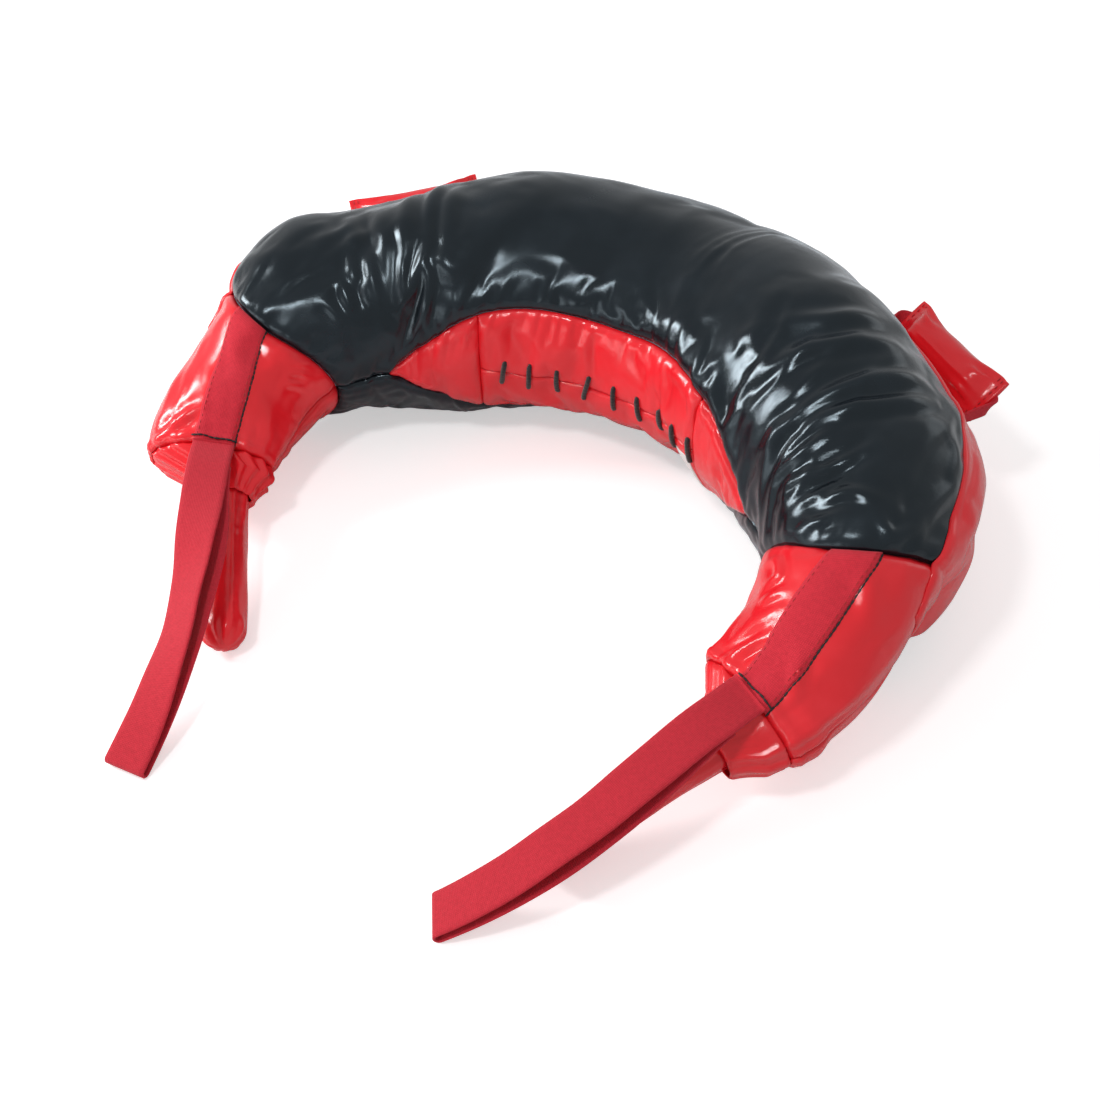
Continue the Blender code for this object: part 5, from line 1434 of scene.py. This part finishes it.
def makeStitchTree():
    # rounded thread beads laid end to end along every line of the mesh it is given
    tree = bpy.data.node_groups.new("stitchRows", "GeometryNodeTree")
    tree.interface.new_socket("Geometry", in_out="INPUT", socket_type="NodeSocketGeometry")
    for name, value in (("Stitch Length", stitch["length"]), ("Stitch Gap", stitch["gap"]), ("Thread Radius", stitch["radius"])):
        tree.interface.new_socket(name, in_out="INPUT", socket_type="NodeSocketFloat").default_value = value
    tree.interface.new_socket("Seed", in_out="INPUT", socket_type="NodeSocketInt").default_value = stitch["seed"]
    tree.interface.new_socket("Thread", in_out="INPUT", socket_type="NodeSocketMaterial")
    tree.interface.new_socket("Geometry", in_out="OUTPUT", socket_type="NodeSocketGeometry")
    nodes, links = tree.nodes, tree.links
    start, end = nodes.new("NodeGroupInput"), nodes.new("NodeGroupOutput")
    curve = nodes.new("GeometryNodeMeshToCurve")
    spread = nodes.new("GeometryNodeResampleCurve")
    spread.mode = "LENGTH"
    pitch = mathNode(nodes, links, "ADD", start.outputs["Stitch Length"], start.outputs["Stitch Gap"])
    links.new(start.outputs["Geometry"], curve.inputs["Mesh"])
    links.new(curve.outputs["Curve"], spread.inputs["Curve"])
    links.new(pitch, spread.inputs["Length"])
    bead = nodes.new("GeometryNodeMeshUVSphere")
    bead.inputs["Segments"].default_value = 8
    bead.inputs["Rings"].default_value = 6
    size = nodes.new("ShaderNodeCombineXYZ")
    links.new(start.outputs["Thread Radius"], size.inputs["X"])
    links.new(start.outputs["Thread Radius"], size.inputs["Y"])
    links.new(mathNode(nodes, links, "MULTIPLY", start.outputs["Stitch Length"], 0.5), size.inputs["Z"])
    uneven = nodes.new("FunctionNodeRandomValue")
    uneven.inputs[2].default_value = 0.86
    uneven.inputs[3].default_value = 1.08
    links.new(start.outputs["Seed"], uneven.inputs["Seed"])
    scale = nodes.new("ShaderNodeVectorMath")
    scale.operation = "SCALE"
    links.new(size.outputs["Vector"], scale.inputs[0])
    links.new(uneven.outputs[1], scale.inputs["Scale"])
    along = nodes.new("GeometryNodeInputTangent")
    align = nodes.new("FunctionNodeAlignRotationToVector")
    align.axis = "Z"
    links.new(along.outputs["Tangent"], align.inputs["Vector"])
    place = nodes.new("GeometryNodeInstanceOnPoints")
    links.new(spread.outputs["Curve"], place.inputs["Points"])
    links.new(bead.outputs["Mesh"], place.inputs["Instance"])
    links.new(align.outputs["Rotation"], place.inputs["Rotation"])
    links.new(scale.outputs["Vector"], place.inputs["Scale"])
    smooth = nodes.new("GeometryNodeSetShadeSmooth")
    real = nodes.new("GeometryNodeRealizeInstances")
    finish = nodes.new("GeometryNodeSetMaterial")
    links.new(place.outputs["Instances"], real.inputs["Geometry"])
    links.new(real.outputs["Geometry"], smooth.inputs["Geometry"])
    links.new(smooth.outputs["Geometry"], finish.inputs["Geometry"])
    links.new(start.outputs["Thread"], finish.inputs["Material"])
    links.new(finish.outputs["Geometry"], end.inputs["Geometry"])
    return tree


stitchTree = makeStitchTree()


def stitchRows(name, lines, material, bodyName, slotName, **sizes):
    # lines: rows of points that the thread follows
    points, edges = [], []
    for line in lines:
        first = len(points)
        points += [tuple(p) for p in line]
        edges += [(first + k, first + k + 1) for k in range(len(line) - 1)]
    mesh = bpy.data.meshes.new(name)
    mesh.from_pydata(points, edges, [])
    piece = bpy.data.objects.new(name, mesh)
    bpy.context.scene.collection.objects.link(piece)
    modifier = piece.modifiers.new("stitches", "NODES")
    modifier.node_group = stitchTree
    values = {"Thread": material, **sizes}
    for socket in stitchTree.interface.items_tree:
        if socket.in_out == "INPUT" and socket.name in values:
            modifier[socket.identifier] = values[socket.name]
    applyModifiers(piece)
    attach(piece, bodyName)
    return piece


def shellLine(u, deg, lift):
    # a line on the shell between places given at even steps, laid at 2 mm spacing
    u, deg = np.broadcast_arrays(np.asarray(u, float), np.asarray(deg, float))
    rough = onShell(u, deg, lift)
    run = np.concatenate([[0], np.cumsum(np.linalg.norm(np.diff(rough, axis=0), axis=1))])
    places = np.linspace(0, run[-1], max(int(run[-1] / 0.002), 2))
    return onShell(np.interp(places, run, u), np.interp(places, run, deg), lift)


def sewTheShell():
    away, lift = stitch["fromSeam"], -stitch["sink"]
    share = away / body["halfLength"]
    black, red, paintedShade = [], [], []
    long = np.linspace(-0.60, 0.60, 240)
    black.append(shellLine(long, lensTop(long) - gapDeg(long, away), lift))
    black.append(shellLine(long, lensBottom(long) + gapDeg(long, away), lift))
    mouth = np.linspace(-body["mouthEndShare"] + share, body["mouthEndShare"] - share, 160)
    for edge in (lensTop(mouth) + gapDeg(mouth, away), lensTop(mouth) + gapDeg(mouth, stitch["secondRow"]),
                 lensBottom(mouth) - gapDeg(mouth, away)):
        red.append(shellLine(mouth, edge, lift))
    bandLift = body["lift"]
    bandLine = np.linspace(-body["bandEndShare"] + share, body["bandEndShare"] - share, 320)
    inwards = gapDeg(bandLine, away)
    for edge in (bandTop(bandLine) - inwards, body["outerDeg"] - bandHalf(bandLine) + inwards):
        red.append(shellLine(bandLine, edge, bandLift + lift))
    for side, turn in sides.items():
        rim = turn * (body["seamShare"] - share)
        black.append(shellLine(rim, np.linspace(-47, 96, 90), lift))
        black.append(shellLine(rim, np.linspace(101, 227, 90), lift))
        rim = turn * (body["seamShare"] + share)
        red.append(shellLine(rim, np.linspace(-46, 96, 90), lift))
        red.append(shellLine(rim, np.linspace(101, 226, 90), lift))
        cross = turn * (body["mouthEndShare"] - share)
        red.append(shellLine(cross, np.linspace(lensTop(cross) + 2, lensBottom(cross) - 2, 40), lift))
        cross = turn * (body["mouthEndShare"] + share)
        red.append(shellLine(cross, np.linspace(lensTop(cross) + 2, lensBottom(cross) - 2, 40), lift))
        gusset = turn * np.linspace(body["mouthEndShare"] + share, body["lensEndShare"] - 0.05, 60)
        red.append(shellLine(gusset, lensTop(gusset) + gapDeg(gusset, away), lift))
        red.append(shellLine(gusset, lensBottom(gusset) - gapDeg(gusset, away), lift))
        for rim in (0.979, 0.991):
            red.append(shellLine(turn * rim, np.linspace(-90, 270, 200), lift))
        # both edges of the sewn webbing, and a dark row along its outer edge: painted shadow in the gap between webbing
        # and vinyl
        u = turn * np.linspace(body["seamShare"] + 0.006, 0.997, 70)
        top = strap["sewnLift"] + strap["thickness"]
        for edge in (-1, 1):
            fromMiddle = np.degrees((strap["width"] / 2 - 0.0026) / sectionAt(np.abs(u), "wide"))
            red.append(shellLine(u, anchorDegAt(side, u) + edge * fromMiddle, top + lift))
        fromMiddle = np.degrees((strap["width"] / 2 + 0.0006) / sectionAt(np.abs(u), "wide"))
        paintedShade.append(shellLine(u, anchorDegAt(side, u) - turn * fromMiddle, 0.0010))
        # a dark row across the webbing where the loop starts: painted shadow under the loop's edge
        crossing = turn * (1 - strap["overlap"] / body["halfLength"] - 0.003)
        reach = np.degrees((strap["width"] / 2 - 0.0015) / sectionAt(1.0, "wide"))
        across = anchorDegAt(side, crossing) + np.linspace(-reach, reach, 20)
        paintedShade.append(shellLine(crossing, across, top + 0.0006))
        # squares round the handle's patches
        first, last = handleFrames[side][:2]
        for place in (first, last):
            reach = handle["patchSize"] / 2 - 0.0028
            a, d = reach / body["halfLength"], math.degrees(reach / body["bellyRadius"])
            corners = np.array([(-a, -d), (a, -d), (a, d), (-a, d), (-a, -d)])
            for k in range(4):
                t = np.linspace(0, 1, 14)[:, None]
                run = corners[k] * (1 - t) + corners[k + 1] * t
                red.append(shellLine(place + run[:, 0], handle["deg"] + run[:, 1], handle["patchLift"] + lift))
    stitchRows("seamStitches_black", black, finishes["threadBlack"], "bag", "black_cord")
    stitchRows("seamStitches_red", red, finishes["threadRed"], "bag", "red_webbing")
    # each painted shadow line is one closed row of longer beads
    stitchRows("webbingShadow_painted", paintedShade, finishes["threadBlack"], "bag", "black_cord",
               **{"Stitch Length": 0.0052, "Stitch Gap": -0.0010, "Thread Radius": 0.0008})


sewTheShell()
for side in sides:
    first, last, centre, along, thick, flat = handleFrames[side]
    rows = []
    for end in (-1, 1):
        for fromEnd in (0.004, 0.0075):
            for face in (-1, 1):
                middle = centre + along * end * (handle["length"] / 2 - fromEnd)
                middle = middle + thick * face * (handle["endHalfHeight"] + 0.0001)
                rows.append([middle + flat * t for t in np.linspace(-0.0165, 0.0165, 18)])
    stitchRows(f"handleStitches_{side}", rows, finishes["threadRed"], f"{side}_roll_handle", "red_webbing")
print("stitches laid")

# camera, floor and light
view = {
    "azimuth": 32.75, "elevation": 42.52, "distance": 1.1374, "target": (-0.01034, -0.159, -0.04505), "lens": 44.90,
}


def direction(azimuth, elevation):
    turn, rise = math.radians(azimuth), math.radians(elevation)
    return Vector((math.sin(turn) * math.cos(rise), -math.cos(turn) * math.cos(rise), math.sin(rise)))


back = direction(view["azimuth"], view["elevation"])
cameraData = bpy.data.cameras.new("camera")
cameraData.lens = view["lens"]
camera = bpy.data.objects.new("camera", cameraData)
camera.rotation_mode = "QUATERNION"
camera.location = Vector(view["target"]) + back * view["distance"]
camera.rotation_quaternion = (-back).to_track_quat("-Z", "Y")
bpy.context.scene.collection.objects.link(camera)
bpy.context.scene.camera = camera


def areaLight(name, location, target, size, power):
    light = bpy.data.lights.new(name, "AREA")
    light.shape = "RECTANGLE"
    light.size, light.size_y = size
    light.energy = power
    lamp = bpy.data.objects.new(name, light)
    lamp.location = location
    lamp.rotation_euler = (Vector(target) - Vector(location)).to_track_quat("-Z", "Y").to_euler()
    bpy.context.scene.collection.objects.link(lamp)


# lamps: direction in degrees from the bag, distance, size and power
lamps = {
    "left window": {"azimuth": -68, "elevation": 28, "distance": 1.6, "size": (0.26, 0.60), "power": 14.0},
    "key light": {"azimuth": -4, "elevation": 58, "distance": 1.7, "size": (0.20, 0.20), "power": 7.0},
    "front strip": {"azimuth": -25, "elevation": 10, "distance": 1.6, "size": (1.5, 0.22), "power": 3.4},
    "back window": {"azimuth": 150, "elevation": 24, "distance": 1.6, "size": (0.8, 0.5), "power": 1.0},
}
lit = Vector((0, -0.15, 0.06))
for name, lamp in lamps.items():
    place = lit + direction(lamp["azimuth"], lamp["elevation"]) * lamp["distance"]
    areaLight(name, place, lit, lamp["size"], lamp["power"])
print("camera, lamps and floor placed")

backdrop = {"floorReach": 6, "floorGrey": 0.86, "floorGlow": 0.50, "plain": 0.47, "seen": 0.53, "inGloss": 0.1}
far = backdrop["floorReach"]
floorMesh = bpy.data.meshes.new("floor")
floorMesh.from_pydata([(-far, -far, 0), (far, -far, 0), (far, far, 0), (-far, far, 0)], [], [(0, 1, 2, 3)])
floor = bpy.data.objects.new("floor", floorMesh)
bpy.context.scene.collection.objects.link(floor)
floorMaterial, nodes, links, shader = newMaterial("pale floor", (backdrop["floorGrey"],) * 3 + (1,), 0.9)
shader.inputs["Specular IOR Level"].default_value = 0.0
rays = nodes.new("ShaderNodeLightPath")
seen = mathNode(nodes, links, "MULTIPLY", rays.outputs["Is Camera Ray"], backdrop["floorGlow"])
shader.inputs["Emission Color"].default_value = (1, 1, 1, 1)
links.new(seen, shader.inputs["Emission Strength"])
floorMesh.materials.append(floorMaterial)
floor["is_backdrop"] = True

world = bpy.data.worlds.new("studio")
bpy.context.scene.world = world
world.use_nodes = True
nodes, links = world.node_tree.nodes, world.node_tree.links
background = nodes["Background"]
rays = nodes.new("ShaderNodeLightPath")
# white to the camera, dim in reflections
cameraRay, clearRay = rays.outputs["Is Camera Ray"], rays.outputs["Is Transmission Ray"]
whiteSeen = mathNode(nodes, links, "MAXIMUM", cameraRay, clearRay)
glossSeen = mathNode(nodes, links, "MULTIPLY", rays.outputs["Is Glossy Ray"], backdrop["inGloss"])
whiteSeen = mathNode(nodes, links, "MAXIMUM", whiteSeen, glossSeen)
strength = mathNode(nodes, links, "MULTIPLY", whiteSeen, backdrop["seen"])
strength = mathNode(nodes, links, "ADD", strength, backdrop["plain"])
links.new(strength, background.inputs["Strength"])
background.inputs["Color"].default_value = (1, 1, 1, 1)
bpy.context.scene.view_settings.view_transform = "Standard"

low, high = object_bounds()
